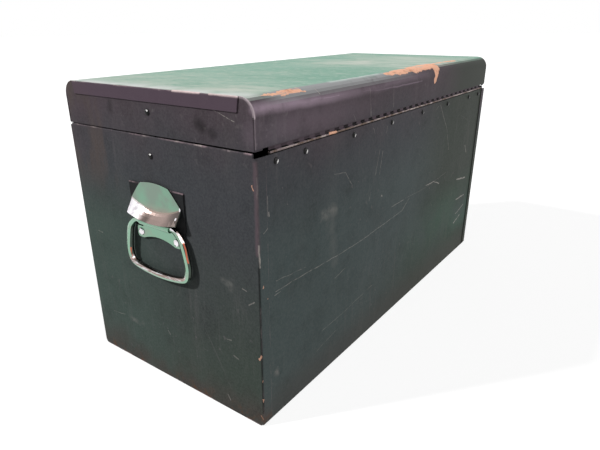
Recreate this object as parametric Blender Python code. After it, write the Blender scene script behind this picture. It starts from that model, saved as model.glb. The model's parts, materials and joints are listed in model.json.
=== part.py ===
"""Steel tool chest with a lift lid on a continuous hinge, slotted lid stays, end bail handles and a hasp.

Metres, +Z up. The origin is the middle of the base. +Y is the hinge side, -Y the front, +X the right-hand end.
"""

from math import acos, atan2, ceil, cos, degrees, hypot, pi, radians, sin, sqrt

import bmesh
import bpy
from mathutils import Matrix, Vector

# Overall sizes
LENGTH = 0.680
DEPTH = 0.305
BODY_HEIGHT = 0.325
LID_HEIGHT = 0.052

# Sheet metal
SHEET = 0.001
FIT = 0.0003
WRAP_BEND = 0.003
END_BEND = 0.002
LAP_STRIP = 0.015
HEM = 0.010
BOTTOM_FLANGE = 0.014
BOTTOM_RELIEF = 0.003
END_CORNER = 0.0045
REAR_NOTCH = 0.005
CHORD_SAG = 0.00012
COARSEST_STEP_DEG = 45.0
CORNER_STEPS = 3

# Lid
LID_BEND = 0.018
LID_FRONT_PROUD = 0.0005
LID_GAP_FRONT = 0.0008
LID_GAP_REAR = 0.0017
LID_TAB = 0.015
LID_TAB_TAPER = 0.002
LID_END_FLANGE = 0.012
LID_END_BEND = 0.0016
LID_OPEN_DEG = 100.0

# Continuous hinge
HINGE_INSET = 0.022
KNUCKLE = 0.010
BARREL_RADIUS = 0.0016
HINGE_LEAF = 0.0007
HINGE_DROP = 0.0018
BARREL_ROOM_BODY = 0.0011
BARREL_ROOM_LID = 0.0040
BODY_LEAF_DEPTH = 0.020
LID_LEAF_DEPTH = 0.016
CURL_DEG = 285.0
HINGE_RIVET_DROP = 0.012
HINGE_RIVET_END = 0.0316
HINGE_RIVET_FIRST = 0.0514
HINGE_RIVET_SPANS = 5

# Rivets
RIVET_HEAD = 0.0036
RIVET_DOME = 0.0020
RIVET_SHANK = 0.0020
RIVET_TAIL = 0.0030
RIVET_TAIL_HEIGHT = 0.0010
DOME_STEPS = 3
ROUND_STEPS = 12

# Lid stays
STAY_LID_RISE = 0.026
STAY_BODY_DROP = 0.022
STAY_Y = 0.0
STAY_THICK = 0.0015
STAY_WIDTH = 0.014
STAY_PIN = 0.0025
STAY_PIN_SHOULDER = 0.0045
STAY_PIN_HEAD = 0.0050
STAY_ROOM = 0.0005

# End handles
HANDLE_Y = 0.002
BAIL_PIVOT_Z = 0.2235
PLATE_ABOVE = 0.0445
PLATE_BELOW = 0.0235
PLATE_HALF_WIDTH = 0.046
PLATE_FOOT_HALF_WIDTH = 0.038
PLATE_THICK = 0.0015
PLATE_CORNER = 0.0035
PLATE_ARCH = 0.0055
ARCH_STEPS = 8
SADDLE_THICK = 0.0012
SADDLE_HALF_WIDTH = 0.026
SADDLE_BEND = 0.0008
SADDLE_TOP_FLANGE = 0.004
SADDLE_SHOULDER = 0.0035
HANDLE_RIVET_EDGE = 0.007
HANDLE_RIVET_RISE = 0.0072
HANDLE_RIVET_HEAD = 0.0047
HANDLE_RIVET_DOME = 0.0025
BAIL_END_RADIUS = 0.0032
BAIL_RADIUS = 0.0041
BAIL_END_ROOM = 0.005
BAIL_RUN_OUT = 0.006
BAIL_SHOULDER = 0.0045
BAIL_TAPER = 0.0058
BAIL_HALF_WIDTH = 0.0514
BAIL_DROP = 0.061
BAIL_BOW = 0.004
BAIL_CORNER = 0.012
PATH_STEPS = 3
HOOD_SHEET = 0.0012
HOOD_TOP_HALF = 0.025
HOOD_TOP_RISE = 0.0014
HOOD_ARCH = 0.0032
HOOD_SIDE_HALF = 0.042
HOOD_SIDE_DROP = 0.0185
HOOD_FOLD_DROP = 0.0312
HOOD_FOLD_ABOVE = 0.0022
HOOD_FOLD_BELOW = 0.0016
HOOD_TIP_DROP = 0.0355
HOOD_TIP_OUT = 0.0098
HOOD_LIP_DROP = 0.0400
HOOD_LIP_OUT = 0.0128
HOOD_COLUMNS = 7
HOOD_ROWS = 4

# Front hasp
HASP_DROP = 0.008
HASP_BARREL = 0.003
HASP_SHEET = 0.0015
HASP_WIDTH = 0.028
HASP_BASE_WIDTH = 0.046
HASP_BASE_HEIGHT = 0.030
HASP_KNUCKLE = 0.008
HASP_TONGUE = 0.0055
HASP_CORNER = 0.008
HASP_JOGGLE_DEG = 30.0
HASP_STAND_OFF = 0.0003
HASP_SLOT_ROOM = 0.0038
HASP_SLOT_WIDTH = 0.0085
HASP_RIVET_EDGE = 0.0045
HASP_RIVET_RISE = 0.013
STAPLE_ROD = 0.0022
STAPLE_LOW = 0.0095
STAPLE_HIGH = 0.0225
STAPLE_REACH = 0.0115
STAPLE_PLATE_HALF = 0.009
STAPLE_PLATE_MARGIN = 0.006
STAPLE_TAIL = 0.0012

# Places worked out from the sizes above
END_X = LENGTH / 2
WALL_Y = DEPTH / 2 - SHEET - FIT
TOP_Z = BODY_HEIGHT + LID_HEIGHT
HEM_RADIUS = SHEET + FIT / 2
LEAF_Y = WALL_Y - SHEET - FIT
HINGE_BORE = BARREL_RADIUS - HINGE_LEAF
HINGE_Y = LEAF_Y + HINGE_BORE
HINGE_Z = BODY_HEIGHT - HINGE_DROP
BACK_TOP = HINGE_Z - BARREL_RADIUS - BARREL_ROOM_BODY
LID_BACK_BOTTOM = HINGE_Z + BARREL_RADIUS + BARREL_ROOM_LID
LID_FRONT_Y = -(DEPTH / 2 + LID_FRONT_PROUD)
LID_BACK_Y = WALL_Y
LID_TAB_BEND = SHEET + FIT
LID_END_X = END_X - LID_TAB_BEND
HINGE_LENGTH = LENGTH - 2 * HINGE_INSET
KNUCKLES = 2 * round((HINGE_LENGTH / KNUCKLE - 1) / 2) + 1
KNUCKLE_PITCH = HINGE_LENGTH / KNUCKLES
STAY_OUTER_X = END_X - SHEET - 2 * HEM_RADIUS + SHEET - STAY_ROOM
STAY_INNER_X = STAY_OUTER_X - STAY_THICK
PLATE_TOP = BAIL_PIVOT_Z + PLATE_ABOVE
PLATE_BOTTOM = BAIL_PIVOT_Z - PLATE_BELOW
HANDLE_RIVET_Y = PLATE_FOOT_HALF_WIDTH - HANDLE_RIVET_EDGE
HANDLE_RIVET_YS = (HANDLE_Y - HANDLE_RIVET_Y, HANDLE_Y + HANDLE_RIVET_Y)
HANDLE_RIVET_Z = PLATE_BOTTOM + HANDLE_RIVET_RISE
PLATE_FACE = FIT + PLATE_THICK
SADDLE_FACE = PLATE_FACE + FIT + SADDLE_THICK
BAIL_OUT = PLATE_FACE + FIT + BAIL_RADIUS
TUNNEL_RADIUS = BAIL_END_RADIUS + FIT + SADDLE_THICK
HASP_Z = BODY_HEIGHT - HASP_DROP
HASP_BORE = HASP_BARREL - HASP_SHEET
HASP_Y = -(WALL_Y + FIT + HASP_BARREL)
HASP_LOW = HASP_Z - HASP_BASE_HEIGHT
HASP_RIVET_X = HASP_BASE_WIDTH / 2 - HASP_RIVET_EDGE
HASP_RIVET_Z = HASP_LOW + HASP_RIVET_RISE
HASP_SLOT_NEAR = HASP_DROP + STAPLE_LOW - STAPLE_ROD - HASP_SLOT_ROOM
HASP_SLOT_FAR = HASP_DROP + STAPLE_HIGH + STAPLE_ROD + HASP_SLOT_ROOM
HASP_REACH = HASP_SLOT_FAR + HASP_TONGUE
SIDES = {"right": 1, "left": -1}


# Materials

def material(name, colour, roughness, metallic):
    made = bpy.data.materials.new(name)
    made.use_nodes = True
    shader = made.node_tree.nodes["Principled BSDF"]
    shader.inputs["Base Color"].default_value = (*colour, 1.0)
    shader.inputs["Roughness"].default_value = roughness
    shader.inputs["Metallic"].default_value = metallic
    return made


# Scene helpers

def clear_scene():
    for old in list(bpy.data.objects):
        bpy.data.objects.remove(old, do_unlink=True)


def pivot_empty(name, place):
    empty = bpy.data.objects.new(name, None)
    empty.location = place
    bpy.context.collection.objects.link(empty)
    return empty


def add_object(name, mesh, finish, pivot=None):
    made = bpy.data.objects.new(name, mesh)
    bpy.context.collection.objects.link(made)
    mesh.materials.append(finish)
    if pivot:
        made.parent = pivot
        made.matrix_parent_inverse = Matrix.Translation(-Vector(pivot.location))
    return made


def finish_mesh(bm, name):
    mesh = bpy.data.meshes.new(name)
    bm.normal_update()
    bm.to_mesh(mesh)
    bm.free()
    mesh.shade_smooth()
    mesh.set_sharp_from_angle(angle=radians(35))
    return mesh


def mirrored(mesh, name):
    """The same mesh on the other side of the plane x = 0."""
    bm = bmesh.new()
    bm.from_mesh(mesh)
    bmesh.ops.transform(bm, matrix=Matrix.Diagonal((-1, 1, 1, 1)), verts=bm.verts)
    bmesh.ops.reverse_faces(bm, faces=bm.faces)
    return finish_mesh(bm, name)


def for_side(mesh, side):
    """The right-hand mesh itself, or its mirror image for the left-hand end."""
    if side == "right":
        return mesh
    return mirrored(mesh, mesh.name.replace("right", side))


def solidify(made, thickness):
    made_thick = made.modifiers.new("Thickness", "SOLIDIFY")
    made_thick.thickness = thickness
    made_thick.offset = -1.0
    made_thick.use_even_offset = True
    made_thick.use_quality_normals = True


def cut(made, meshes):
    """Cut the given closed meshes out of an object."""
    for number, mesh in enumerate(meshes):
        cutter = bpy.data.objects.new(f"{made.name}_cutter_{number}", mesh)
        bpy.context.collection.objects.link(cutter)
        cutter.hide_render = True
        cutter.display_type = "WIRE"
        hole = made.modifiers.new(f"Hole {number}", "BOOLEAN")
        hole.operation = "DIFFERENCE"
        hole.solver = "EXACT"
        hole.object = cutter


# Shape helpers

def arc(centre, radius, start_deg, end_deg, steps):
    """Points on an arc in the plane, both ends included."""
    points = []
    for step in range(steps + 1):
        turn = radians(start_deg + (end_deg - start_deg) * step / steps)
        points.append((centre[0] + radius * cos(turn), centre[1] + radius * sin(turn)))
    return points


def bend_steps(radius, degrees_turned):
    """How many flat steps keep an arc within CHORD_SAG of round, with no step over the coarsest."""
    widest = 2 * degrees(acos(max(0.0, 1 - CHORD_SAG / radius)))
    return ceil(degrees_turned / min(COARSEST_STEP_DEG, widest))


def add_flange(bm, first, last, normal, steps):
    """Grow a folded flange from the edge first-last; a positive bend folds away from the normal."""
    normal = Vector(normal).normalized()
    along = (last.co - first.co).normalized()
    out = along.cross(normal)
    row = (first, last)
    for kind, size, amount in steps:
        if kind == "flat":
            shift = out * size
            taper = along * amount
            moved = [(shift + taper, shift - taper, normal, out)]
        else:
            count = bend_steps(size, abs(amount))
            side = 1.0 if amount > 0 else -1.0
            moved = []
            past = Vector()
            for step in range(1, count + 1):
                turn = radians(abs(amount)) * step / count
                travel = out * (size * sin(turn)) - normal * (side * size * (1.0 - cos(turn)))
                face = normal * cos(turn) + out * (side * sin(turn))
                ahead = out * cos(turn) - normal * (side * sin(turn))
                moved.append((travel - past, travel - past, face, ahead))
                past = travel
        for shift_first, shift_last, face, ahead in moved:
            new_row = (bm.verts.new(row[0].co + shift_first), bm.verts.new(row[1].co + shift_last))
            bm.faces.new((row[1], row[0], new_row[0], new_row[1]))
            row = new_row
        normal, out = moved[-1][2], moved[-1][3]


def folded_sheet(name, outline, normal, flanges):
    """A flat face with folded flanges; each flange names the outline corner where its edge starts."""
    bm = bmesh.new()
    corners = [bm.verts.new(point) for point in outline]
    bm.faces.new(corners)
    for start, steps in flanges:
        add_flange(bm, corners[start], corners[(start + 1) % len(corners)], normal, steps)
    return finish_mesh(bm, name)


def prism(name, outline, travel):
    """Extrude a closed outline, counter-clockwise seen from the end that it travels towards."""
    bm = bmesh.new()
    low = [bm.verts.new(point) for point in outline]
    high = [bm.verts.new(Vector(point) + Vector(travel)) for point in outline]
    bm.faces.new(high)
    bm.faces.new(list(reversed(low)))
    for k in range(len(low)):
        after = (k + 1) % len(low)
        bm.faces.new((low[k], low[after], high[after], high[k]))
    return finish_mesh(bm, name)


def turned(name, base, axis, profile, steps=ROUND_STEPS):
    """Turn a profile of (distance along the axis, radius), listed from the far end back, about an axis."""
    axis = Vector(axis)
    side = axis.orthogonal().normalized()
    other = axis.cross(side)
    bm = bmesh.new()
    rings = []
    for distance, radius in profile:
        centre = Vector(base) + axis * distance
        if radius == 0:
            rings.append([bm.verts.new(centre)])
            continue
        ring = []
        for step in range(steps):
            turn = 2 * pi * (step + 0.5) / steps
            ring.append(bm.verts.new(centre + side * (radius * cos(turn)) + other * (radius * sin(turn))))
        rings.append(ring)
    for upper, lower in zip(rings, rings[1:]):
        for step in range(steps):
            after = (step + 1) % steps
            if len(upper) == 1:
                bm.faces.new((upper[0], lower[step], lower[after]))
            elif len(lower) == 1:
                bm.faces.new((upper[step], lower[0], upper[after]))
            else:
                bm.faces.new((upper[step], lower[step], lower[after], upper[after]))
    return finish_mesh(bm, name)


def hole(name, point, axis, radius, reach):
    """A round cutter through the point, reaching the same way to both sides."""
    return turned(name, point, axis, [(reach, 0), (reach, radius), (-reach, radius), (-reach, 0)])


def dome_profile(foot, head=RIVET_HEAD, dome=RIVET_DOME):
    """A rivet's domed head standing on the given distance along its axis."""
    profile = [(foot + dome, 0)]
    for step in range(1, DOME_STEPS + 1):
        turn = pi / 2 * step / DOME_STEPS
        profile.append((foot + dome * cos(turn), head * sin(turn)))
    return profile


def rivet_profile(grip, head=RIVET_HEAD, dome=RIVET_DOME):
    """A domed head at the outer face, a shank through the grip and a flat tail behind it."""
    back = -(grip + FIT)
    return dome_profile(FIT, head, dome) + [
        (FIT, RIVET_SHANK),
        (back, RIVET_SHANK),
        (back, RIVET_TAIL),
        (back - RIVET_TAIL_HEIGHT, RIVET_TAIL),
        (back - RIVET_TAIL_HEIGHT, 0),
    ]


def smooth_path(keys, steps):
    """Points on a curve through all keys, with no overshoot beyond what the keys ask for."""
    path = []
    padded = [2 * keys[0] - keys[1]] + keys + [2 * keys[-1] - keys[-2]]
    for a, b, c, d in zip(padded, padded[1:], padded[2:], padded[3:]):
        for step in range(steps):
            t = step / steps
            path.append(
                0.5 * (2 * b + (c - a) * t + (2 * a - 5 * b + 4 * c - d) * t ** 2
                       + (3 * b - a - 3 * c + d) * t ** 3)
            )
    path.append(keys[-1])
    return path


def rod(name, points, radii, finish, pivot=None, resolution=2):
    """A round rod along the points."""
    curve = bpy.data.curves.new(name, "CURVE")
    curve.dimensions = "3D"
    curve.bevel_depth = max(radii)
    curve.bevel_resolution = resolution
    curve.use_fill_caps = True
    spline = curve.splines.new("POLY")
    spline.points.add(len(points) - 1)
    for knot, point, radius in zip(spline.points, points, radii):
        knot.co = (*point, 1.0)
        knot.radius = radius / max(radii)
    spline.use_smooth = True
    made = bpy.data.objects.new(name, curve)
    bpy.context.collection.objects.link(made)
    curve.materials.append(finish)
    if pivot:
        made.parent = pivot
        made.matrix_parent_inverse = Matrix.Translation(-Vector(pivot.location))
    return made


# Body: a wrapper bent from one sheet, and two ends lapped over it

def hinge_rivet_places():
    spacing = (LENGTH - 2 * (HINGE_RIVET_END + HINGE_RIVET_FIRST)) / HINGE_RIVET_SPANS
    places = [-END_X + HINGE_RIVET_END]
    for step in range(HINGE_RIVET_SPANS + 1):
        places.append(-END_X + HINGE_RIVET_END + HINGE_RIVET_FIRST + step * spacing)
    places.append(END_X - HINGE_RIVET_END)
    return places


def make_wrapper(finish):
    wall_x = END_X - END_BEND
    flat_y = WALL_Y - WRAP_BEND
    flange_x = END_X - SHEET - FIT - WRAP_BEND
    flange_y = flat_y - BOTTOM_RELIEF
    left = [(-wall_x, -flat_y), (-wall_x, -flange_y), (-flange_x, -flange_y),
            (-flange_x, flange_y), (-wall_x, flange_y), (-wall_x, flat_y)]
    outline = left + [(-x, -y) for x, y in left]
    fold = ("bend", WRAP_BEND, 90)
    rim = [("bend", HEM_RADIUS, 180), ("flat", HEM, 0)]
    front = [fold, ("flat", BODY_HEIGHT - WRAP_BEND - HEM_RADIUS, 0)] + rim
    back = [fold, ("flat", BACK_TOP - WRAP_BEND, 0)]
    end = [fold, ("flat", BOTTOM_FLANGE - WRAP_BEND, 0)]
    mesh = folded_sheet("body_wrapper", [(x, y, 0) for x, y in outline], (0, 0, -1),
                        [(5, back), (11, front), (2, end), (8, end)])
    made = add_object("body_wrapper", mesh, finish)
    solidify(made, SHEET)
    rivet_z = BODY_HEIGHT - HINGE_RIVET_DROP
    holes = [hole("hinge_hole", (x, WALL_Y, rivet_z), (0, 1, 0), RIVET_SHANK + FIT, 2 * SHEET)
             for x in hinge_rivet_places()]
    holes += [hole("hasp_hole", (x, -WALL_Y, HASP_RIVET_Z), (0, 1, 0), RIVET_SHANK + FIT, 2 * SHEET)
              for x in (-HASP_RIVET_X, HASP_RIVET_X)]
    cut(made, holes)


def end_outline():
    """The flat of an end, counter-clockwise seen from outside, as (y, z)."""
    edge = DEPTH / 2 - END_BEND
    rim = BODY_HEIGHT - HEM_RADIUS
    notch = DEPTH / 2 - REAR_NOTCH
    hem_front = -(WALL_Y - SHEET - 2 * HEM_RADIUS)
    points = arc((edge - END_CORNER, END_CORNER), END_CORNER, -90, 0, CORNER_STEPS)
    back_start = len(points) - 1
    points += [(edge, BACK_TOP), (notch, BACK_TOP)]
    hem_start = len(points)
    points += [(notch, rim), (hem_front, rim)]
    front_start = len(points)
    points += [(-edge, rim - SHEET)]
    points += arc((-edge + END_CORNER, END_CORNER), END_CORNER, 180, 270, CORNER_STEPS)
    return points, back_start, hem_start, front_start


def stay_lid_point():
    return STAY_Y, BODY_HEIGHT + STAY_LID_RISE


def stay_body_point():
    """As far from the hinge line as the lid's pin, so that the stay turns through half the lid's angle."""
    lid_y, lid_z = stay_lid_point()
    z = BODY_HEIGHT - STAY_BODY_DROP
    reach = hypot(HINGE_Y - lid_y, lid_z - HINGE_Z)
    return HINGE_Y - sqrt(reach ** 2 - (HINGE_Z - z) ** 2), z


def make_ends(finish):
    points, back_start, hem_start, front_start = end_outline()
    strip = [("bend", END_BEND, 90), ("flat", LAP_STRIP - END_BEND, 0)]
    hem = [("bend", HEM_RADIUS, 180), ("flat", HEM, 0)]
    right = folded_sheet("body_end_right", [(END_X, y, z) for y, z in points], (1, 0, 0),
                         [(back_start, strip), (hem_start, hem), (front_start, strip)])
    stay_y, stay_z = stay_body_point()
    places = [(stay_y, stay_z, STAY_PIN)] + [(y, HANDLE_RIVET_Z, RIVET_SHANK) for y in HANDLE_RIVET_YS]
    for side, sign in SIDES.items():
        made = add_object(f"body_end_{side}", for_side(right, side), finish)
        solidify(made, SHEET)
        cut(made, [hole("end_hole", (sign * END_X, y, z), (1, 0, 0), radius + FIT, 2 * SHEET)
                   for y, z, radius in places])


# Lid: a top sheet folded down on all sides, and two ends inside it

def make_lid_shell(finish, pivot):
    front = LID_FRONT_Y + LID_BEND
    back = LID_BACK_Y - LID_BEND
    tab_x = LID_END_X
    wall_x = LID_END_X - FIT / 2
    relief = SHEET
    half = [(-wall_x, front), (wall_x, front), (tab_x, front + relief), (tab_x, back - relief)]
    outline = half + [(-x, front + back - y) for x, y in half]
    wall_front = LID_HEIGHT - LID_BEND - LID_GAP_FRONT
    wall_back = TOP_Z - LID_BEND - LID_BACK_BOTTOM
    fold = ("bend", LID_BEND, 90)
    tab = [("bend", LID_TAB_BEND, 90), ("flat", LID_TAB - LID_TAB_BEND, LID_TAB_TAPER)]
    mesh = folded_sheet("lid_shell", [(x, y, TOP_Z) for x, y in outline], (0, 0, 1),
                        [(0, [fold, ("flat", wall_front, 0)]), (2, tab), (4, [fold, ("flat", wall_back, 0)]),
                         (6, tab)])
    made = add_object("lid_shell", mesh, finish, pivot)
    solidify(made, SHEET)
    cut(made, [hole("staple_hole", (0, LID_FRONT_Y, BODY_HEIGHT + z), (0, 1, 0), STAPLE_ROD + FIT, 2 * SHEET)
               for z in (STAPLE_LOW, STAPLE_HIGH)])


def lid_end_outline():
    """The flat of a lid end, counter-clockwise seen from outside, as (y, z)."""
    inset = SHEET + FIT
    front = LID_FRONT_Y + inset
    back = LID_BACK_Y - inset
    top = TOP_Z - inset
    radius = LID_BEND - inset
    shoulder = top - radius
    low_back = BODY_HEIGHT + LID_GAP_REAR
    low_front = BODY_HEIGHT + LID_GAP_FRONT
    points = [(front + LID_END_BEND, low_front), (back - LID_END_BEND, low_back)]
    back_start = 1
    points += [(back - LID_END_BEND, shoulder - LID_END_BEND), (back, shoulder)]
    steps = bend_steps(LID_BEND, 90)
    points += arc((back - radius, shoulder), radius, 0, 90, steps)[1:]
    points += arc((front + radius, shoulder), radius, 90, 180, steps)
    front_start = len(points)
    points += [(front + LID_END_BEND, shoulder - LID_END_BEND)]
    return points, back_start, front_start


def make_lid_ends(finish, pivot):
    points, back_start, front_start = lid_end_outline()
    flange = [("bend", LID_END_BEND, 90), ("flat", LID_END_FLANGE - LID_END_BEND, 0)]
    right = folded_sheet("lid_end_right", [(LID_END_X, y, z) for y, z in points], (1, 0, 0),
                         [(back_start, flange), (front_start, flange)])
    stay_y, stay_z = stay_lid_point()
    for side, sign in SIDES.items():
        made = add_object(f"lid_end_{side}", for_side(right, side), finish, pivot)
        solidify(made, SHEET)
        place = (sign * LID_END_X, stay_y, stay_z)
        cut(made, [hole("stay_hole", place, (1, 0, 0), STAY_PIN + FIT, 2 * SHEET)])


# Continuous hinge: two leaves with interleaved curled knuckles on one pin

def hinge_leaf_mesh(name, first_knuckle, far_z, upward):
    """A leaf in the plane y = LEAF_Y whose every second column runs on into a curled knuckle."""
    bm = bmesh.new()
    slot_z = HINGE_Z - upward * (BARREL_RADIUS + FIT)
    normal = Vector((0, 1, 0))
    stations = []
    for k in range(KNUCKLES):
        start = -HINGE_LENGTH / 2 + k * KNUCKLE_PITCH
        if (k - first_knuckle) % 2 == 0:
            stations += [(start + FIT / 2, True), (start + KNUCKLE_PITCH - FIT / 2, False)]
    if first_knuckle:
        stations = [(-HINGE_LENGTH / 2, False)] + stations + [(HINGE_LENGTH / 2, False)]
    rows = [(bm.verts.new((x, LEAF_Y, far_z)), bm.verts.new((x, LEAF_Y, slot_z))) for x, _ in stations]
    curl = [("flat", BARREL_RADIUS + FIT, 0), ("bend", HINGE_BORE, -CURL_DEG)]
    for here, after, (_, has_knuckle) in zip(rows, rows[1:], stations):
        corners = (here[0], here[1], after[1], after[0])
        bm.faces.new(corners if upward > 0 else tuple(reversed(corners)))
        if has_knuckle:
            edge = (here[1], after[1]) if upward > 0 else (after[1], here[1])
            add_flange(bm, *edge, normal, curl)
    return finish_mesh(bm, name)


def make_hinge(leaf_finish, rivet_finish, pivot):
    body_mesh = hinge_leaf_mesh("hinge_body_leaf", 0, HINGE_Z - BODY_LEAF_DEPTH, 1)
    body_leaf = add_object("hinge_body_leaf", body_mesh, leaf_finish)
    solidify(body_leaf, HINGE_LEAF)
    rivet_z = BODY_HEIGHT - HINGE_RIVET_DROP
    cut(body_leaf, [hole("leaf_hole", (x, LEAF_Y, rivet_z), (0, 1, 0), RIVET_SHANK + FIT, 2 * HINGE_LEAF)
                    for x in hinge_rivet_places()])
    lid_mesh = hinge_leaf_mesh("hinge_lid_leaf", 1, HINGE_Z + LID_LEAF_DEPTH, -1)
    lid_leaf = add_object("hinge_lid_leaf", lid_mesh, leaf_finish, pivot)
    solidify(lid_leaf, HINGE_LEAF)
    half = HINGE_LENGTH / 2
    pin_radius = HINGE_BORE - FIT
    pin = turned("hinge_pin", (0, HINGE_Y, HINGE_Z), (1, 0, 0),
                 [(half, 0), (half, pin_radius), (-half, pin_radius), (-half, 0)])
    add_object("hinge_pin", pin, leaf_finish)
    grip = SHEET + FIT + HINGE_LEAF
    for number, x in enumerate(hinge_rivet_places(), 1):
        name = f"hinge_rivet_{number}"
        mesh = turned(name, (x, WALL_Y, rivet_z), (0, 1, 0), rivet_profile(grip))
        add_object(name, mesh, rivet_finish)


# Lid stays: a slotted arm on a pin in the lid, riding on a pin in the end

def stay_reach(lid_deg):
    """Distance between the two pins at a lid angle."""
    lid_y, lid_z = stay_lid_point()
    body_y, body_z = stay_body_point()
    arm = hypot(HINGE_Y - lid_y, lid_z - HINGE_Z)
    closed = atan2(lid_z - HINGE_Z, HINGE_Y - lid_y) + atan2(HINGE_Z - body_z, HINGE_Y - body_y)
    return 2 * arm * sin((closed + radians(lid_deg)) / 2)


def stadium(start, along, first, last, radius, steps=6):
    """A round-ended slot outline from distance first to distance last along a line, as (y, z)."""
    heading = degrees(atan2(along[1], along[0]))
    far = (start[0] + along[0] * last, start[1] + along[1] * last)
    near = (start[0] + along[0] * first, start[1] + along[1] * first)
    return (arc(far, radius, heading - 90, heading + 90, steps)
            + arc(near, radius, heading + 90, heading + 270, steps))


def make_stays(finish, lid_pivot):
    lid_y, lid_z = stay_lid_point()
    body_y, body_z = stay_body_point()
    closed = stay_reach(0)
    along = ((body_y - lid_y) / closed, (body_z - lid_z) / closed)
    last = stay_reach(LID_OPEN_DEG) + FIT
    slot = STAY_PIN + FIT
    outer = [(STAY_INNER_X, y, z) for y, z in stadium((lid_y, lid_z), along, 0, last, STAY_WIDTH / 2)]
    arm = prism("stay_arm_right", outer, (STAY_THICK, 0, 0))
    slot_x = STAY_INNER_X - STAY_THICK
    slot_points = stadium((lid_y, lid_z), along, closed - FIT, last, slot)
    slot_mesh = prism("stay_slot_right", [(slot_x, y, z) for y, z in slot_points], (3 * STAY_THICK, 0, 0))
    eye_mesh = hole("stay_eye_right", (STAY_INNER_X, lid_y, lid_z), (1, 0, 0), slot, 3 * STAY_THICK)
    body_pin = stay_pin_mesh("stay_body_pin_right", END_X, body_y, body_z)
    lid_pin = stay_pin_mesh("stay_lid_pin_right", LID_END_X, lid_y, lid_z)
    for side, sign in SIDES.items():
        pivot = pivot_empty(f"stay_pivot_{side}", (sign * STAY_INNER_X, lid_y, lid_z))
        made = add_object(f"stay_arm_{side}", for_side(arm, side), finish, pivot)
        cut(made, [for_side(slot_mesh, side), for_side(eye_mesh, side)])
        add_object(f"stay_body_pin_{side}", for_side(body_pin, side), finish)
        add_object(f"stay_lid_pin_{side}", for_side(lid_pin, side), finish, lid_pivot)


def stay_pin_mesh(name, face_x, y, z):
    """A shouldered rivet: domed head outside, shoulder to the arm, shank through it and a head inside."""
    inner = face_x - SHEET - FIT
    arm_outer = STAY_OUTER_X + FIT
    arm_inner = STAY_INNER_X - FIT
    profile = dome_profile(face_x + FIT) + [(face_x + FIT, STAY_PIN)]
    if inner - arm_outer > FIT:
        profile += [(inner, STAY_PIN), (inner, STAY_PIN_SHOULDER)]
        profile += [(arm_outer, STAY_PIN_SHOULDER), (arm_outer, STAY_PIN)]
    profile += [
        (arm_inner, STAY_PIN),
        (arm_inner, STAY_PIN_HEAD),
        (arm_inner - RIVET_TAIL_HEIGHT, STAY_PIN_HEAD),
        (arm_inner - RIVET_TAIL_HEIGHT, 0),
    ]
    return turned(name, (0, y, z), (1, 0, 0), profile)


# End handles: back plate, saddle over the bail's ends, hood, bail and two rivets

def handle_foot():
    """Lower edge of plate and saddle from left to right: two round feet and an arch between, as (y, z)."""
    half = PLATE_FOOT_HALF_WIDTH
    inner = HANDLE_RIVET_Y - PLATE_CORNER
    centre_y = half - PLATE_CORNER
    centre_z = PLATE_BOTTOM + PLATE_CORNER
    points = arc((-centre_y, centre_z), PLATE_CORNER, 180, 270, CORNER_STEPS)
    for step in range(ARCH_STEPS + 1):
        y = inner * (2 * step / ARCH_STEPS - 1)
        points.append((y, PLATE_BOTTOM + PLATE_ARCH * (1 - (y / inner) ** 2)))
    points += arc((centre_y, centre_z), PLATE_CORNER, -90, 0, CORNER_STEPS)
    return points


def handle_plate_mesh():
    wide = PLATE_HALF_WIDTH
    points = handle_foot()
    points += [(wide, BAIL_PIVOT_Z), (wide, PLATE_TOP), (-wide, PLATE_TOP), (-wide, BAIL_PIVOT_Z)]
    outline = [(END_X + FIT, HANDLE_Y + y, z) for y, z in points]
    return prism("handle_plate_right", outline, (PLATE_THICK, 0, 0))


def handle_saddle_mesh():
    """An omega section: band, half-round tunnel over the bail's ends, and a short upper flange."""
    band_top = BAIL_PIVOT_Z - TUNNEL_RADIUS - SADDLE_BEND
    half = PLATE_FOOT_HALF_WIDTH
    shoulder = band_top - SADDLE_SHOULDER
    points = handle_foot()
    points += [(half, shoulder), (SADDLE_HALF_WIDTH + SADDLE_THICK, shoulder)]
    tunnel_start = len(points)
    points += [(SADDLE_HALF_WIDTH, band_top), (-SADDLE_HALF_WIDTH, band_top)]
    points += [(-SADDLE_HALF_WIDTH - SADDLE_THICK, shoulder), (-half, shoulder)]
    rise = BAIL_OUT - SADDLE_FACE - SADDLE_BEND
    tunnel = [("bend", SADDLE_BEND, -90), ("flat", rise, 0), ("bend", TUNNEL_RADIUS, 180), ("flat", rise, 0),
              ("bend", SADDLE_BEND, -90), ("flat", SADDLE_TOP_FLANGE, 0)]
    outline = [(END_X + SADDLE_FACE, HANDLE_Y + y, z) for y, z in points]
    return folded_sheet("handle_saddle_right", outline, (1, 0, 0), [(tunnel_start, tunnel)])


def hood_top_drop(share):
    """How far the hood's upper edge lies below the plate's top, at a share of the way out to its side corner."""
    corner = HOOD_TOP_HALF / HOOD_SIDE_HALF
    if share <= corner:
        return -HOOD_TOP_RISE - HOOD_ARCH * (1 - (share / corner) ** 2)
    return (HOOD_SIDE_DROP + HOOD_TOP_RISE) * (share - corner) / (1 - corner) - HOOD_TOP_RISE


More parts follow.
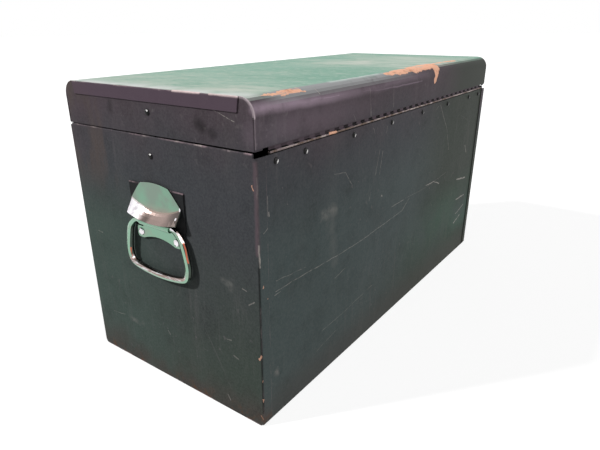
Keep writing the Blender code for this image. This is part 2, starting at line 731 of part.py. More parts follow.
def hood_flare(share):
    """Points from the hood's flat face out to its lip, as (out, drop), on a curve that leaves the face softly."""
    bulge = 1 - share ** 2
    fold = HOOD_SIDE_DROP + (HOOD_FOLD_DROP - HOOD_SIDE_DROP) * bulge
    lip_out = HOOD_TIP_OUT + (HOOD_LIP_OUT - HOOD_TIP_OUT) * bulge
    lip_drop = HOOD_TIP_DROP + (HOOD_LIP_DROP - HOOD_TIP_DROP) * bulge
    start = Vector((0, fold - HOOD_FOLD_ABOVE * bulge))
    turn = Vector((0, fold + HOOD_FOLD_BELOW))
    end = Vector((lip_out, lip_drop))
    points = []
    for row in range(HOOD_ROWS + 1):
        t = row / HOOD_ROWS
        points.append(start * (1 - t) ** 2 + turn * 2 * t * (1 - t) + end * t ** 2)
    return points


def handle_hood_mesh():
    """A flat face on the plate, six-sided with an arched top, whose lower edge flares out over the bail."""
    root = END_X + PLATE_FACE + FIT + HOOD_SHEET
    bm = bmesh.new()
    columns = []
    for step in range(-HOOD_COLUMNS, HOOD_COLUMNS + 1):
        side = step / HOOD_COLUMNS
        y = HANDLE_Y + side * HOOD_SIDE_HALF
        rows = hood_flare(abs(side))
        if abs(step) < HOOD_COLUMNS:
            rows.insert(0, Vector((0, hood_top_drop(abs(side)))))
        columns.append([bm.verts.new((root + out, y, PLATE_TOP - drop)) for out, drop in rows])
    for left, right in zip(columns, columns[1:]):
        if len(left) > len(right):
            bm.faces.new((left[0], left[1], right[0]))
        elif len(right) > len(left):
            bm.faces.new((left[0], right[1], right[0]))
        lower = min(len(left), len(right)) - 1
        for a, b, c, d in zip(left[-lower - 1:], left[-lower:], right[-lower:], right[-lower - 1:]):
            bm.faces.new((a, b, c, d))
    return finish_mesh(bm, "handle_hood_right")


def bail_points():
    """Centre line of the bail from one turned-in end round to the other, as (y, z)."""
    top = BAIL_PIVOT_Z
    low = top - BAIL_DROP
    wide = BAIL_HALF_WIDTH
    neck = SADDLE_HALF_WIDTH + BAIL_RUN_OUT
    half = [
        (BAIL_END_ROOM, top),
        (SADDLE_HALF_WIDTH, top),
        (neck, top),
        ((neck + wide - BAIL_TAPER) / 2, top - BAIL_SHOULDER),
        (wide - BAIL_TAPER, top - 3 * BAIL_SHOULDER),
        (wide, low + 2 * BAIL_CORNER),
    ]
    half += arc((wide - BAIL_CORNER, low + BAIL_CORNER), BAIL_CORNER, 0, -90, 2)
    for y in (wide / 2, wide / 6):
        half.append((y, low - BAIL_BOW * (1 - (y / (wide - BAIL_CORNER)) ** 2)))
    keys = half + [(-y, z) for y, z in reversed(half)]
    return smooth_path([Vector(key) for key in keys], PATH_STEPS)


def bail_radius(y, z):
    """Thin where the bail turns in the saddle, growing to full thickness down its shoulders."""
    if abs(y) <= SADDLE_HALF_WIDTH + BAIL_RUN_OUT:
        return BAIL_RADIUS if z < BAIL_PIVOT_Z - BAIL_DROP / 2 else BAIL_END_RADIUS
    share = min(1.0, max(0.0, (BAIL_PIVOT_Z - z) / (3 * BAIL_SHOULDER)))
    return BAIL_END_RADIUS + (BAIL_RADIUS - BAIL_END_RADIUS) * share


def make_handles(finish, plate_finish):
    plate = handle_plate_mesh()
    saddle = handle_saddle_mesh()
    hood = handle_hood_mesh()
    path = bail_points()
    radii = [bail_radius(y, z) for y, z in path]
    rivet = rivet_profile(SADDLE_FACE + SHEET, HANDLE_RIVET_HEAD, HANDLE_RIVET_DOME)
    for side, sign in SIDES.items():
        plate_made = add_object(f"handle_plate_{side}", for_side(plate, side), plate_finish)
        saddle_made = add_object(f"handle_saddle_{side}", for_side(saddle, side), finish)
        solidify(saddle_made, SADDLE_THICK)
        hood_made = add_object(f"handle_hood_{side}", for_side(hood, side), finish)
        solidify(hood_made, HOOD_SHEET)
        bail_x = sign * (END_X + BAIL_OUT)
        pivot = pivot_empty(f"bail_pivot_{side}", (bail_x, 0, BAIL_PIVOT_Z))
        rod(f"handle_bail_{side}", [(bail_x, y, z) for y, z in path], radii, finish, pivot)
        places = [(sign * (END_X + SADDLE_FACE), y, HANDLE_RIVET_Z) for y in HANDLE_RIVET_YS]
        holes = [hole("handle_hole", place, (1, 0, 0), RIVET_SHANK + FIT, 2 * SADDLE_FACE) for place in places]
        cut(plate_made, holes)
        cut(saddle_made, holes)
        for number, place in enumerate(places, 1):
            name = f"handle_rivet_{side}_{number}"
            add_object(name, turned(name, place, (sign, 0, 0), rivet), finish)


# Front hasp: a base leaf on the body, a slotted strap hanging from it, and a staple in the lid

def make_hasp(finish, lid_pivot):
    face_y = HASP_Y + HASP_BORE
    slot_z = HASP_Z - HASP_BARREL - FIT
    half = HASP_WIDTH / 2
    base_half = HASP_BASE_WIDTH / 2
    inner = half - HASP_KNUCKLE
    curl = [("flat", HASP_BARREL + FIT, 0), ("bend", HASP_BORE, -CURL_DEG)]
    corner_x = base_half - HASP_CORNER
    corner_z = HASP_LOW + HASP_CORNER
    outline = arc((-corner_x, corner_z), HASP_CORNER, 180, 270, CORNER_STEPS)
    outline += arc((corner_x, corner_z), HASP_CORNER, -90, 0, CORNER_STEPS)
    shoulder = slot_z - SHEET
    outline += [(base_half, shoulder), (half + SHEET, shoulder)]
    right = len(outline)
    outline += [(half, slot_z), (inner, slot_z), (inner - SHEET, shoulder), (-inner + SHEET, shoulder)]
    left = len(outline)
    outline += [(-inner, slot_z), (-half, slot_z), (-half - SHEET, shoulder), (-base_half, shoulder)]
    mesh = folded_sheet("hasp_base", [(x, face_y, z) for x, z in outline], (0, -1, 0),
                        [(right, curl), (left, curl)])
    made = add_object("hasp_base", mesh, finish)
    solidify(made, HASP_SHEET)
    places = [(x, face_y, HASP_RIVET_Z) for x in (-HASP_RIVET_X, HASP_RIVET_X)]
    cut(made, [hole("hasp_base_hole", place, (0, 1, 0), RIVET_SHANK + FIT, 2 * HASP_SHEET) for place in places])
    for number, place in enumerate(places, 1):
        name = f"hasp_rivet_{number}"
        mesh = turned(name, place, (0, -1, 0), rivet_profile(HASP_SHEET + FIT + SHEET))
        add_object(name, mesh, finish)
    pin_radius = HASP_BORE - FIT
    pin = turned("hasp_pin", (0, HASP_Y, HASP_Z), (1, 0, 0),
                 [(half, 0), (half, pin_radius), (-half, pin_radius), (-half, 0)])
    add_object("hasp_pin", pin, finish)
    make_hasp_strap(finish, inner - FIT)
    make_staple(finish, lid_pivot)


def make_hasp_strap(finish, knuckle_half):
    """Hanging from the pin; folded up, its back lies just off the lid's front."""
    half = HASP_WIDTH / 2
    pivot = pivot_empty("hasp_pivot", (0, HASP_Y, HASP_Z))
    swung_face = -LID_FRONT_Y + HASP_STAND_OFF
    back_offset = swung_face - (-HASP_Y) + HASP_SHEET
    back_y = HASP_Y + back_offset
    joggle = HASP_BORE + back_offset
    turn = radians(HASP_JOGGLE_DEG)
    bend = HASP_SHEET / 2
    ramp = (joggle - (2 * bend + HASP_SHEET) * (1 - cos(turn))) / sin(turn)
    rise = ramp * cos(turn) + (2 * bend + HASP_SHEET) * sin(turn)
    top = HASP_Z - HASP_BARREL - rise
    low = HASP_Z - HASP_REACH
    corner_x = half - HASP_CORNER
    outline = arc((corner_x, low + HASP_CORNER), HASP_CORNER, 0, -90, CORNER_STEPS)
    outline += arc((-corner_x, low + HASP_CORNER), HASP_CORNER, -90, -180, CORNER_STEPS)
    shoulder = top - SHEET
    outline += [(-half, shoulder), (-knuckle_half - SHEET, shoulder)]
    start = len(outline)
    outline += [(-knuckle_half, top), (knuckle_half, top), (knuckle_half + SHEET, shoulder), (half, shoulder)]
    path = [("bend", bend + HASP_SHEET, HASP_JOGGLE_DEG), ("flat", ramp, 0), ("bend", bend, -HASP_JOGGLE_DEG),
            ("flat", HASP_BARREL, 0), ("bend", HASP_BORE, -CURL_DEG)]
    mesh = folded_sheet("hasp_strap", [(x, back_y, z) for x, z in outline], (0, 1, 0), [(start, path)])
    made = add_object("hasp_strap", mesh, finish, pivot)
    solidify(made, HASP_SHEET)
    slot_half = HASP_SLOT_WIDTH / 2
    slot = stadium((0, HASP_Z), (0, -1), HASP_SLOT_NEAR + slot_half, HASP_SLOT_FAR - slot_half, slot_half)
    cut(made, [prism("hasp_slot", [(x, back_y + HASP_SHEET, z) for x, z in slot], (0, -4 * HASP_SHEET, 0))])


def make_staple(finish, lid_pivot):
    """A bent rod whose legs pass through the lid's front into a backing plate."""
    low = BODY_HEIGHT + STAPLE_LOW
    high = BODY_HEIGHT + STAPLE_HIGH
    inside = LID_FRONT_Y + SHEET + FIT
    plate_back = inside + HASP_SHEET
    tail = plate_back + STAPLE_TAIL
    crown = (high - low) / 2
    middle = (high + low) / 2
    front = LID_FRONT_Y - STAPLE_REACH + STAPLE_ROD + crown
    bow = [(0, front - crown * cos(radians(a)), middle + crown * sin(radians(a))) for a in range(-90, 91, 15)]
    points = [(0, tail, low)] + bow + [(0, tail, high)]
    rod("hasp_staple", points, [STAPLE_ROD] * len(points), finish, lid_pivot)
    wide = STAPLE_PLATE_HALF
    margin = STAPLE_PLATE_MARGIN
    outline = [(-wide, inside, low - margin), (-wide, inside, high + margin), (wide, inside, high + margin),
               (wide, inside, low - margin)]
    plate = add_object("staple_plate", prism("staple_plate", outline, (0, HASP_SHEET, 0)), finish, lid_pivot)
    cut(plate, [hole("plate_hole", (0, inside, z), (0, 1, 0), STAPLE_ROD + FIT, 2 * HASP_SHEET)
                for z in (low, high)])


def main():
    clear_scene()
    paint = material("green_paint", (0.055, 0.075, 0.068), 0.38, 0.0)
    chrome = material("chrome", (0.72, 0.72, 0.70), 0.16, 1.0)
    steel = material("worn_steel", (0.33, 0.30, 0.27), 0.45, 1.0)
    zinc = material("zinc_steel", (0.55, 0.55, 0.53), 0.35, 1.0)
    painted_rivet = material("painted_rivet", (0.045, 0.055, 0.05), 0.34, 0.0)
    lid_pivot = pivot_empty("lid_pivot", (0, HINGE_Y, HINGE_Z))
    make_wrapper(paint)
    make_ends(paint)
    make_lid_shell(paint, lid_pivot)
    make_lid_ends(paint, lid_pivot)
    make_hinge(steel, painted_rivet, lid_pivot)
    make_stays(painted_rivet, lid_pivot)
    make_handles(chrome, paint)
    make_hasp(zinc, lid_pivot)


main()
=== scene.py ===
"""Looks of the steel tool chest: aged green paint, worn hinge, chromed end handles, zinc hasp.

Metres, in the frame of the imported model. Marks on the paint are listed in millimetres in that frame.
"""

import json
from math import cos, radians, sin

import bpy
from mathutils import Matrix, Vector

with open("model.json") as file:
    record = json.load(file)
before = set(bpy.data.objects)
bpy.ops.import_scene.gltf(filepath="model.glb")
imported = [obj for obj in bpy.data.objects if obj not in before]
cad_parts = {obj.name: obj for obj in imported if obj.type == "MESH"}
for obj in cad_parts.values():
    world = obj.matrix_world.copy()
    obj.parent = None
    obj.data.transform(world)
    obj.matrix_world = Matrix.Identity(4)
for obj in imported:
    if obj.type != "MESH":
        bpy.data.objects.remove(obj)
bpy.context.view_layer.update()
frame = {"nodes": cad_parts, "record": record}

MM = 0.001

# Camera
CAMERA_PLACE = (0.7026, 0.4597, 0.4387)
CAMERA_LOOK = (-0.7386, -0.5547, -0.3832)
CAMERA_ROLL_DEG = -0.523
CAMERA_LENS = 30.974
CAMERA_SENSOR = 36.0
CAMERA_SHIFT = (0.0225, 0.0200)
CAMERA_NEAR_CLIP = 0.01

# Light and floor
WHITE = (1.0, 1.0, 1.0)
AMBIENT = 0.16
SUNS = {
    "key": {"towards": (0.606, -0.515, 0.606), "strength": 3.0, "spread_deg": 4.0},
    "rear": {"towards": (-0.20, 0.72, 0.66), "strength": 2.1, "spread_deg": 60.0},
}
FLOOR_SIZE = 40.0
FLOOR_COLOUR = (0.40, 0.40, 0.40)
FLOOR_ROUGHNESS = 0.9
FLOOR_GLOW = 0.72

# Softened sheet edges
BEVEL = 0.00022
BEVEL_SEGMENTS = 2
BEVEL_ANGLE_DEG = 38.0

# Paint colours, linear
GREEN_DEEP = (0.045, 0.060, 0.050)
SLATE_REFLECTION = (0.053, 0.056, 0.063)
GREEN_RICH = (0.044, 0.092, 0.064)
TEAL = (0.063, 0.083, 0.083)
GREEN_SIDE = (0.056, 0.083, 0.072)
UMBER = (0.060, 0.050, 0.045)
UMBER_SMEAR = (0.092, 0.070, 0.064)
OLIVE_FAR = (0.047, 0.052, 0.045)
ROSE_CORNER_HIGHLIGHT = (0.115, 0.084, 0.096)
GREEN_SHADE = (0.034, 0.043, 0.033)
PLUM_REFLECTION = (0.076, 0.057, 0.068)
PLUM_SHEEN = (0.280, 0.215, 0.262)
PLUM_TAB = (0.096, 0.068, 0.089)
GREEN_FADED_AND_REFLECTION = (0.190, 0.335, 0.265)
GREEN_CHALK_AND_GLARE = (0.460, 0.485, 0.425)
GREEN_STREAK = (0.120, 0.270, 0.200)
PRIMER = (0.760, 0.420, 0.290)
PRIMER_DARK = (0.450, 0.210, 0.130)
RUB = (0.170, 0.155, 0.155)
RUB_PALE = (0.360, 0.335, 0.310)
ROSE_RUB_AND_HIGHLIGHT = (0.300, 0.220, 0.240)
ROSE_PALE = (0.560, 0.470, 0.450)
ROSE_HIGHLIGHT = (0.480, 0.400, 0.430)
ROSE_WHITE = (0.720, 0.570, 0.560)
BEND_GREY = (0.285, 0.290, 0.293)
BEND_PALE = (0.420, 0.490, 0.460)
EDGE_PALE = (0.530, 0.550, 0.530)
RUST = (0.160, 0.062, 0.024)
RIVET_HIGHLIGHT = (0.920, 0.900, 0.880)
GRIME_AND_SHADE = (0.012, 0.012, 0.012)
SHADE_BLACK = (0.003, 0.003, 0.003)
DUST = (0.150, 0.150, 0.142)

# Metal colours, linear
CHROME = (0.820, 0.795, 0.830)
CHROME_PALE = (0.950, 0.920, 0.955)
CHROME_LILAC = (0.620, 0.585, 0.640)
CHROME_MAUVE = (0.330, 0.280, 0.330)
CHROME_TAN = (0.460, 0.350, 0.290)
CHROME_LEAF = (0.258, 0.425, 0.315)
CHROME_ROSE = (0.340, 0.255, 0.230)
CHROME_GREEN = (0.225, 0.400, 0.290)
CHROME_SAGE = (0.240, 0.320, 0.260)
CHROME_DARK = (0.030, 0.032, 0.030)
CHROME_EMBER = (0.500, 0.130, 0.075)
HINGE_ROSE = (0.235, 0.185, 0.185)
STEEL_BROWN = (0.130, 0.085, 0.060)
ZINC = (0.560, 0.560, 0.540)
ZINC_DULL = (0.380, 0.385, 0.380)
CHROME_SPECULAR = 0.1

# Faces that carry marks, in millimetres
BACK_Y = 151.2
STRIP_Y = 152.5
END_X = 340.0
LID_END_X = 338.7
LID_TOP_Z = 377.0
LID_BEND = 18.0
LID_FRONT_Y = -153.0
RIM_Z = 325.0

# Middle of the closed chest, from which the outside faces turn away, and how far off they count as outside
CHEST_MIDDLE = (0.0, 0.0, 0.19)
OUTSIDE_BORDER = (0.0, 0.02)

# The hinge, in metres
HINGE_LENGTH = 0.636
KNUCKLES = 63
KNUCKLE_PITCH = HINGE_LENGTH / KNUCKLES


def on_back(points):
    return [(x, BACK_Y, z) for x, z in points]


def on_end(points):
    return [(END_X, y, z) for y, z in points]


def on_lid_end(points):
    return [(LID_END_X, y, z) for y, z in points]


def on_top(points):
    return [(x, y, LID_TOP_Z) for x, y in points]


def lid_corner(x, wall_y, steps=5):
    """Points round the lid's bend at an end, from the top to the wall."""
    outward = LID_BEND if wall_y > 0 else -LID_BEND
    centre_y = wall_y - outward
    centre_z = LID_TOP_Z - LID_BEND
    turns = [radians(90 * step / steps) for step in range(steps + 1)]
    return [(x, centre_y + outward * sin(turn), centre_z + LID_BEND * cos(turn)) for turn in turns]


# Scratches: points, half width, strength
BACK_SCRATCHES = [
    (on_back([(312, 168), (266, 167), (202, 164), (134, 163), (57, 166), (-5, 169), (-29.5, 183)]),
     0.8, 0.6),
    (on_back([(311, 181), (256, 175)]), 0.7, 0.4),
    (on_back([(217, 68), (159, 70), (81, 77)]), 0.7, 0.4),
    (on_back([(229, 43), (172, 52)]), 0.7, 0.3),
    (on_back([(188, 133), (163, 137.5)]), 0.8, 0.5),
    (on_back([(33, 186.5), (-8, 186)]), 0.9, 0.6),
    (on_back([(196, 273), (171, 270), (151, 247)]), 0.8, 0.4),
    (on_back([(82, 281), (92, 247)]), 0.8, 0.45),
    (on_back([(73, 278), (79, 246)]), 0.8, 0.55),
    (on_back([(104, 313), (99, 305)]), 0.9, 0.4),
    (on_back([(64, 309), (66, 300)]), 0.9, 0.35),
    (on_back([(-16, 187), (-95, 184), (-182, 190)]), 0.9, 0.22),
    (on_back([(323, 280), (323, 259)]), 1.0, 0.35),
    (on_back([(-124, 314), (-165, 269), (-184, 231)]), 0.9, 0.45),
    (on_back([(-115, 314), (-106, 309)]), 1.0, 0.5),
    (on_back([(-94, 187), (-126, 186.5), (-155, 176.5)]), 1.4, 0.9),
    (on_back([(-247, 162), (-294, 155)]), 2.2, 1.0),
    (on_back([(-256, 119), (-299, 118)]), 2.2, 1.0),
    (on_back([(-305, 96), (-265, 88)]), 1.8, 0.8),
    (on_back([(-289, 78), (-259, 70)]), 2.2, 1.0),
    (on_back([(-270, 223), (-281, 208)]), 1.6, 0.6),
    (on_back([(314, 164), (303, 165)]), 0.8, 0.6),
    (on_back([(101, 226), (105, 216)]), 0.9, 0.45),
    (on_back([(69, 213), (67, 212)]), 2.2, 0.7),
    (on_back([(321, 262), (320.7, 258)]), 1.3, 0.7),
]
END_SCRATCHES = [
    (on_end([(-127.5, 184.5), (-117.5, 184)]), 1.2, 0.45),
    (on_end([(127, 176), (133.5, 175)]), 1.0, 0.5),
    (on_end([(136.5, 159), (143.5, 164.5)]), 1.4, 0.7),
    (on_end([(-120, 63.7), (-94, 66.6)]), 0.9, 0.35),
    (on_end([(-4, 73.6), (-1, 69.3)]), 1.0, 0.5),
    (on_end([(100, 101.5), (107, 103)]), 1.2, 0.4),
    (on_end([(110, 83), (116, 81)]), 1.6, 0.35),
    (on_end([(96, 20.7), (100, 13.8)]), 1.2, 0.5),
    ([(332, STRIP_Y, 243), (325.5, STRIP_Y, 246.5)], 0.8, 0.6),
    ([(339.4, 151.8, 231.5), (338.6, 152.3, 208)], 1.4, 1.0),
]
LID_SCRATCHES = [
    ([(118.7, 150.5, 363.7), (112.2, 151.2, 330)], 0.9, 0.5),
    ([(52.4, 151.1, 359.5), (50, 151.2, 333)], 0.9, 0.4),
    ([(156.7, 151.2, 338), (150, 151.2, 329)], 0.8, 0.4),
    ([(229.3, 144.6, 372.9), (226.8, 148.3, 368.8)], 1.5, 1.0),
    (on_lid_end([(98, 361.7), (108, 359.3), (118.5, 355.5), (126, 353)]), 0.7, 0.8),
    (on_top([(249, -54), (248.6, -41)]), 1.6, 0.7),
    (on_top([(317, 81), (277, 88)]), 1.2, 0.35),
    (on_top([(279, 75), (277, 86)]), 1.2, 0.5),
]

# Chips down to the primer: points, half width, strength
END_CHIPS = [
    (on_end([(149.6, 293), (150, 289)]), 1.9, 0.6),
    ([(339.8, 151.1, 105), (339.4, 151.8, 96)], 2.0, 1.0),
    ([(339.9, 151, 68), (339.7, 151.5, 63)], 1.1, 0.6),
    ([(339.4, 151.9, 41.5), (339.1, 152.1, 37)], 1.1, 0.6),
    (on_end([(149.6, 14), (150.3, 9)]), 1.7, 0.6),
    ([(334, STRIP_Y, 183), (333.6, STRIP_Y, 180.6)], 1.6, 0.8),
    ([(325.3, STRIP_Y, 170.2), (326.3, STRIP_Y, 164.6)], 1.8, 0.8),
]
LID_CHIPS = [
    ([(320, 139.3, 376), (306, 139.8, 375.8)], 3.2, 0.8),
    ([(302, 140, 375.6), (288, 139.8, 375.7)], 3.6, 0.9),
    ([(287, 140.2, 375.6), (258, 141, 375.2)], 7.0, 1.0),
    ([(258, 142.5, 374.4), (250, 144, 373.5)], 2.8, 0.8),
    ([(56, 139.2, 376), (24, 140.4, 375.5)], 5.5, 1.0),
    ([(24, 140.4, 375.5), (-28, 138, 376.3)], 10.0, 1.0),
    ([(-28, 138, 376.3), (-80, 135, 376.9)], 17.0, 1.0),
    ([(-80, 135, 376.9), (-108, 137, 376.6)], 18.0, 1.0),
    ([(-104, 143, 374), (-95, 149.5, 366.5)], 11.0, 1.0),
    ([(-95, 149.5, 366.5), (-90.5, 151.2, 357)], 8.0, 1.0),
    (on_top([(-112, 132), (-145, 132.5), (-172, 133), (-209, 133)]), 6.0, 0.85),
]
HINGE_CHIPS = [
    ([(210, 152, 323.6), (197, 152, 323.3)], 2.8, 1.0),
]

# Worn edges, and painted highlights on the body's rim and the lid's rear corners, with both ends of the
# chest folded onto x > 0: points, half width, strength
BODY_EDGE_WEAR_AND_RIM_HIGHLIGHT = [
    ([(339.5, 152, 2), (339.5, 152, 318)], 1.5, 0.2),
    ([(339.5, -152, 2), (339.5, -152, 324)], 2.0, 0.6),
    ([(340, -150, 0.4), (340, 150, 0.4)], 1.6, 0.7),
    ([(325.2, STRIP_Y, 2), (325.2, STRIP_Y, 316)], 0.9, 0.3),
    # The rim's top edge: a painted highlight where the rim catches the light, in the colours of worn paint
    ([(339.6, -146, RIM_Z), (339.6, -30, RIM_Z)], 2.0, 0.35),
    ([(339.6, -30, RIM_Z), (339.6, 60, RIM_Z)], 2.2, 0.6),
    ([(339.6, 60, RIM_Z), (339.6, 146, RIM_Z)], 2.6, 1.0),
]
LID_EDGES = [
    ([(339.7, -134, 376.5), (339.7, 133, 376.5)], 1.5, 0.6),
    (lid_corner(339.0, LID_FRONT_Y), 1.5, 0.5),
]
LID_RIMS = [
    ([(339.4, 44, 376.9), (339.4, 82, 376.9)], 2.6, 1.0),
    ([(339.4, 96, 376.9), (339.4, 134, 376.7)], 2.2, 0.8),
]
LID_CORNER_HIGHLIGHTS = [
    (lid_corner(339.0, BACK_Y), 2.8, 1.0),
    ([(338.8, BACK_Y, 359), (338.8, BACK_Y, 330)], 2.6, 0.16),
]

# Soft pale and dark marks, with painted sheen and highlights on the lid's rear bend: points, half width,
# strength
BACK_SMUDGES = [
    (on_back([(219, 231), (195, 226)]), 13.0, 1.0),
    (on_back([(204, 225), (190, 158)]), 14.0, 0.3),
    ([(314, STRIP_Y, 64), (311.5, STRIP_Y, 58)], 7.0, 1.0),
]
END_SMUDGES = [
    (on_end([(101, 177.5), (110, 174.5)]), 8.0, 0.9),
    (on_end([(-82, 65), (-58, 66)]), 6.0, 0.8),
]
LID_SHEEN = [
    ([(335, 149.5, 366.5), (285, 150, 364.5)], 10.0, 1.0),
    ([(285, 150, 364.5), (220, 150.3, 362.6), (120, 150.5, 362)], 9.5, 1.0),
    ([(120, 150.5, 362), (0, 149.5, 366.5), (-80, 149.5, 367)], 9.0, 1.0),
    ([(335, 151.2, 343), (120, 151.2, 343)], 26.0, 0.22),
]
LID_GLINTS = [
    ([(285, 150, 365.5), (190, 150.8, 362.8)], 2.2, 1.0),
    ([(190, 150.8, 362.8), (52, 151.2, 358.8), (-40, 151.2, 359)], 1.8, 0.5),
]
BEND_LINES = [
    ([(190, 136, 376.8), (150, 136.3, 376.7), (50, 136.3, 376.7)], 3.6, 1.0),
]
LID_STAINS = [
    (on_lid_end([(76, 347), (84, 343)]), 10.0, 0.6),
    (on_lid_end([(95, 341), (97, 338)]), 8.0, 0.5),
    (on_lid_end([(-66, 356), (-66, 348)]), 9.0, 0.4),
    (on_lid_end([(16, 342), (20, 338)]), 9.0, 0.12),
]

# Marks on both rear corners and both handles, painted shade and highlights among them, folded onto x > 0
# as the worn edges are
CORNER_SHADES = [
    ([(339.9, 151.6, 20), (339.9, 151.6, 206)], 2.2, 0.7),
]
CORNER_HIGHLIGHTS = [
    ([(339.7, 150.6, 222), (339.7, 150.6, 316)], 4.2, 0.8),
]
BAIL_STREAKS = [
    ([(348.3, -48.2, 182), (348.6, -48, 177), (348.3, -46.9, 172.5)], 1.9, 1.0),
    ([(347.8, 49.2, 212), (347.8, 51.7, 202.6), (347.8, 54.4, 189.3)], 1.7, 1.0),
]
BAIL_GLINTS = [
    ([(349, 30, 225.4), (349, 37, 224.6), (349.2, 43.5, 221), (348.6, 47.5, 215)], 2.6, 1.0),
    ([(348.6, -45.2, 170.4), (348.4, -39.5, 167.4)], 2.8, 1.0),
]
BAND_CREASE_SHADES = [
    ([(344.5, -17, 218.2), (344.5, 5.5, 217.2), (344.5, 18.5, 216.9)], 2.6, 0.8),
]
HOOD_GLINTS = [
    ([(343.4, 43.4, 249.8), (343.4, 43.2, 248.2)], 2.3, 1.0),
    ([(348.5, 40.4, 239.4), (348.6, 40.2, 238.4)], 2.0, 1.0),
    ([(349.6, -39.7, 238.4), (350, -39.8, 237.6)], 2.2, 1.0),
]

# Ways that the rivets' painted highlights face, and how closely a face has to turn that way to carry them
RIVET_HIGHLIGHT_BACK = (-0.38, 0.88, -0.28)
RIVET_HIGHLIGHT_SPREAD_BACK = (0.84, 0.93)
RIVET_HIGHLIGHT_END = (0.86, 0.30, 0.40)
RIVET_HIGHLIGHT_SPREAD_END = (0.96, 0.99)
RIVET_FAR_SHARE = 0.2

# Noise masks: scale, noise that gives 0, noise that gives 1, octaves, weight of the finer octaves
PATCHES = {
    "grime_wide": (14.0, 0.45, 0.75, 5.0, 0.65),
    "grime_fine": (42.0, 0.50, 0.80, 6.0, 0.65),
    "run_areas": (6.0, 0.42, 0.60, 3.0, 0.5),
    "dots": (120.0, 0.64, 0.72, 3.0, 0.5),
    "dot_areas": (7.0, 0.44, 0.60, 3.0, 0.5),
    "hair_areas": (9.0, 0.48, 0.68, 3.0, 0.5),
    "specks": (170.0, 0.70, 0.74, 3.0, 0.5),
    "speck_areas": (12.0, 0.55, 0.70, 3.0, 0.5),
    "grain": (380.0, 0.32, 0.68, 4.0, 0.75),
    "smudges": (60.0, 0.30, 0.70, 5.0, 0.7),
    "scratches": (140.0, 0.28, 0.54, 5.0, 0.72),
    "edges": (28.0, 0.44, 0.62, 5.0, 0.7),
    "bare_edges": (55.0, 0.50, 0.66, 4.0, 0.6),
    "chip_rims": (90.0, 0.50, 0.80, 4.0, 0.6),
    "back_green": (7.0, 0.30, 0.60, 3.0, 0.5),
    "end_foot": (16.0, 0.30, 0.60, 3.0, 0.5),
    "rust": (75.0, 0.50, 0.70, 5.0, 0.7),
    "sheen": (24.0, 0.20, 0.55, 5.0, 0.65),
    "top_drift": (6.0, 0.38, 0.66, 4.0, 0.55),
    "top_border": (30.0, 0.25, 0.55, 3.0, 0.5),
    "bend": (26.0, 0.15, 0.45, 5.0, 0.65),
    "bend_lines": (48.0, 0.30, 0.55, 4.0, 0.6),
    "plate_edge_highlight": (60.0, 0.35, 0.60, 3.0, 0.5),
    "rivet_dots": (700.0, 0.62, 0.72, 3.0, 0.5),
    "barrel_brown": (60.0, 0.44, 0.58, 5.0, 0.7),
    "zinc_dull": (70.0, 0.40, 0.70, 5.0, 0.6),
    "zinc_brown": (160.0, 0.62, 0.75, 4.0, 0.7),
    "chrome_film": (60.0, 0.45, 0.75, 5.0, 0.65),
    "hood_mauve": (90.0, 0.50, 0.66, 4.0, 0.6),
    "hood_green": (40.0, 0.40, 0.65, 3.0, 0.5),
}

# Noise masks that run in streaks: turn in degrees, scale by axis after the turn, and the rest as above
UNTURNED = (0.0, 0.0, 0.0)
TOP_TURN = (0.0, 0.0, -97.0)
STREAKS = {
    "dust": (UNTURNED, (30.0, 30.0, 3.0), 0.50, 0.80, 5.0, 0.6),
    "runs": (UNTURNED, (110.0, 110.0, 11.0), 0.52, 0.70, 5.0, 0.7),
    "hairs": ((24.0, 18.0, 0.0), (3.0, 3.0, 260.0), 0.70, 0.76, 2.0, 0.5),
    "hairs_steep": ((62.0, -55.0, 0.0), (3.0, 3.0, 260.0), 0.70, 0.76, 2.0, 0.5),
    "smears": (UNTURNED, (22.0, 22.0, 7.0), 0.46, 0.64, 4.0, 0.6),
    "top_chalk_and_glare": (TOP_TURN, (13.0, 24.0, 1.0), 0.44, 0.66, 6.0, 0.68),
    "top_dark": (TOP_TURN, (16.0, 38.0, 1.0), 0.44, 0.66, 6.0, 0.70),
    "top_scuffs": (TOP_TURN, (36.0, 80.0, 1.0), 0.60, 0.72, 5.0, 0.7),
    "top_fine": (TOP_TURN, (85.0, 170.0, 1.0), 0.48, 0.66, 5.0, 0.7),
    "chip_strands": ((0.0, 0.0, 12.0), (38.0, 240.0, 240.0), 0.36, 0.44, 4.0, 0.6),
    "barrel": (UNTURNED, (45.0, 300.0, 300.0), 0.48, 0.60, 4.0, 0.7),
    "chrome_hairs": ((35.0, 0.0, 0.0), (60.0, 60.0, 900.0), 0.66, 0.74, 2.0, 0.5),
    "bail": (UNTURNED, (160.0, 60.0, 500.0), 0.32, 0.56, 4.0, 0.6),
}

# Noise that makes the outlines of marks ragged: scale, and how far it moves them in metres
NOISE_MIDDLE = (0.5, 0.5, 0.5)
RAGGED_DETAIL = 3.0
RAGGED = {
    "smudges": (40.0, 0.016),
    "scratches": (70.0, 0.0030),
    "edges": (120.0, 0.0016),
    "chips_wide": (34.0, 0.014),
    "chips": (170.0, 0.005),
    "corner_highlights": (60.0, 0.003),
    "stains": (50.0, 0.01),
    "sheen": (30.0, 0.004),
    "bend_lines": (40.0, 0.004),
    "rims": (90.0, 0.0015),
    "corners": (60.0, 0.002),
    "hinge_chips": (150.0, 0.004),
    "ember": (90.0, 0.002),
}

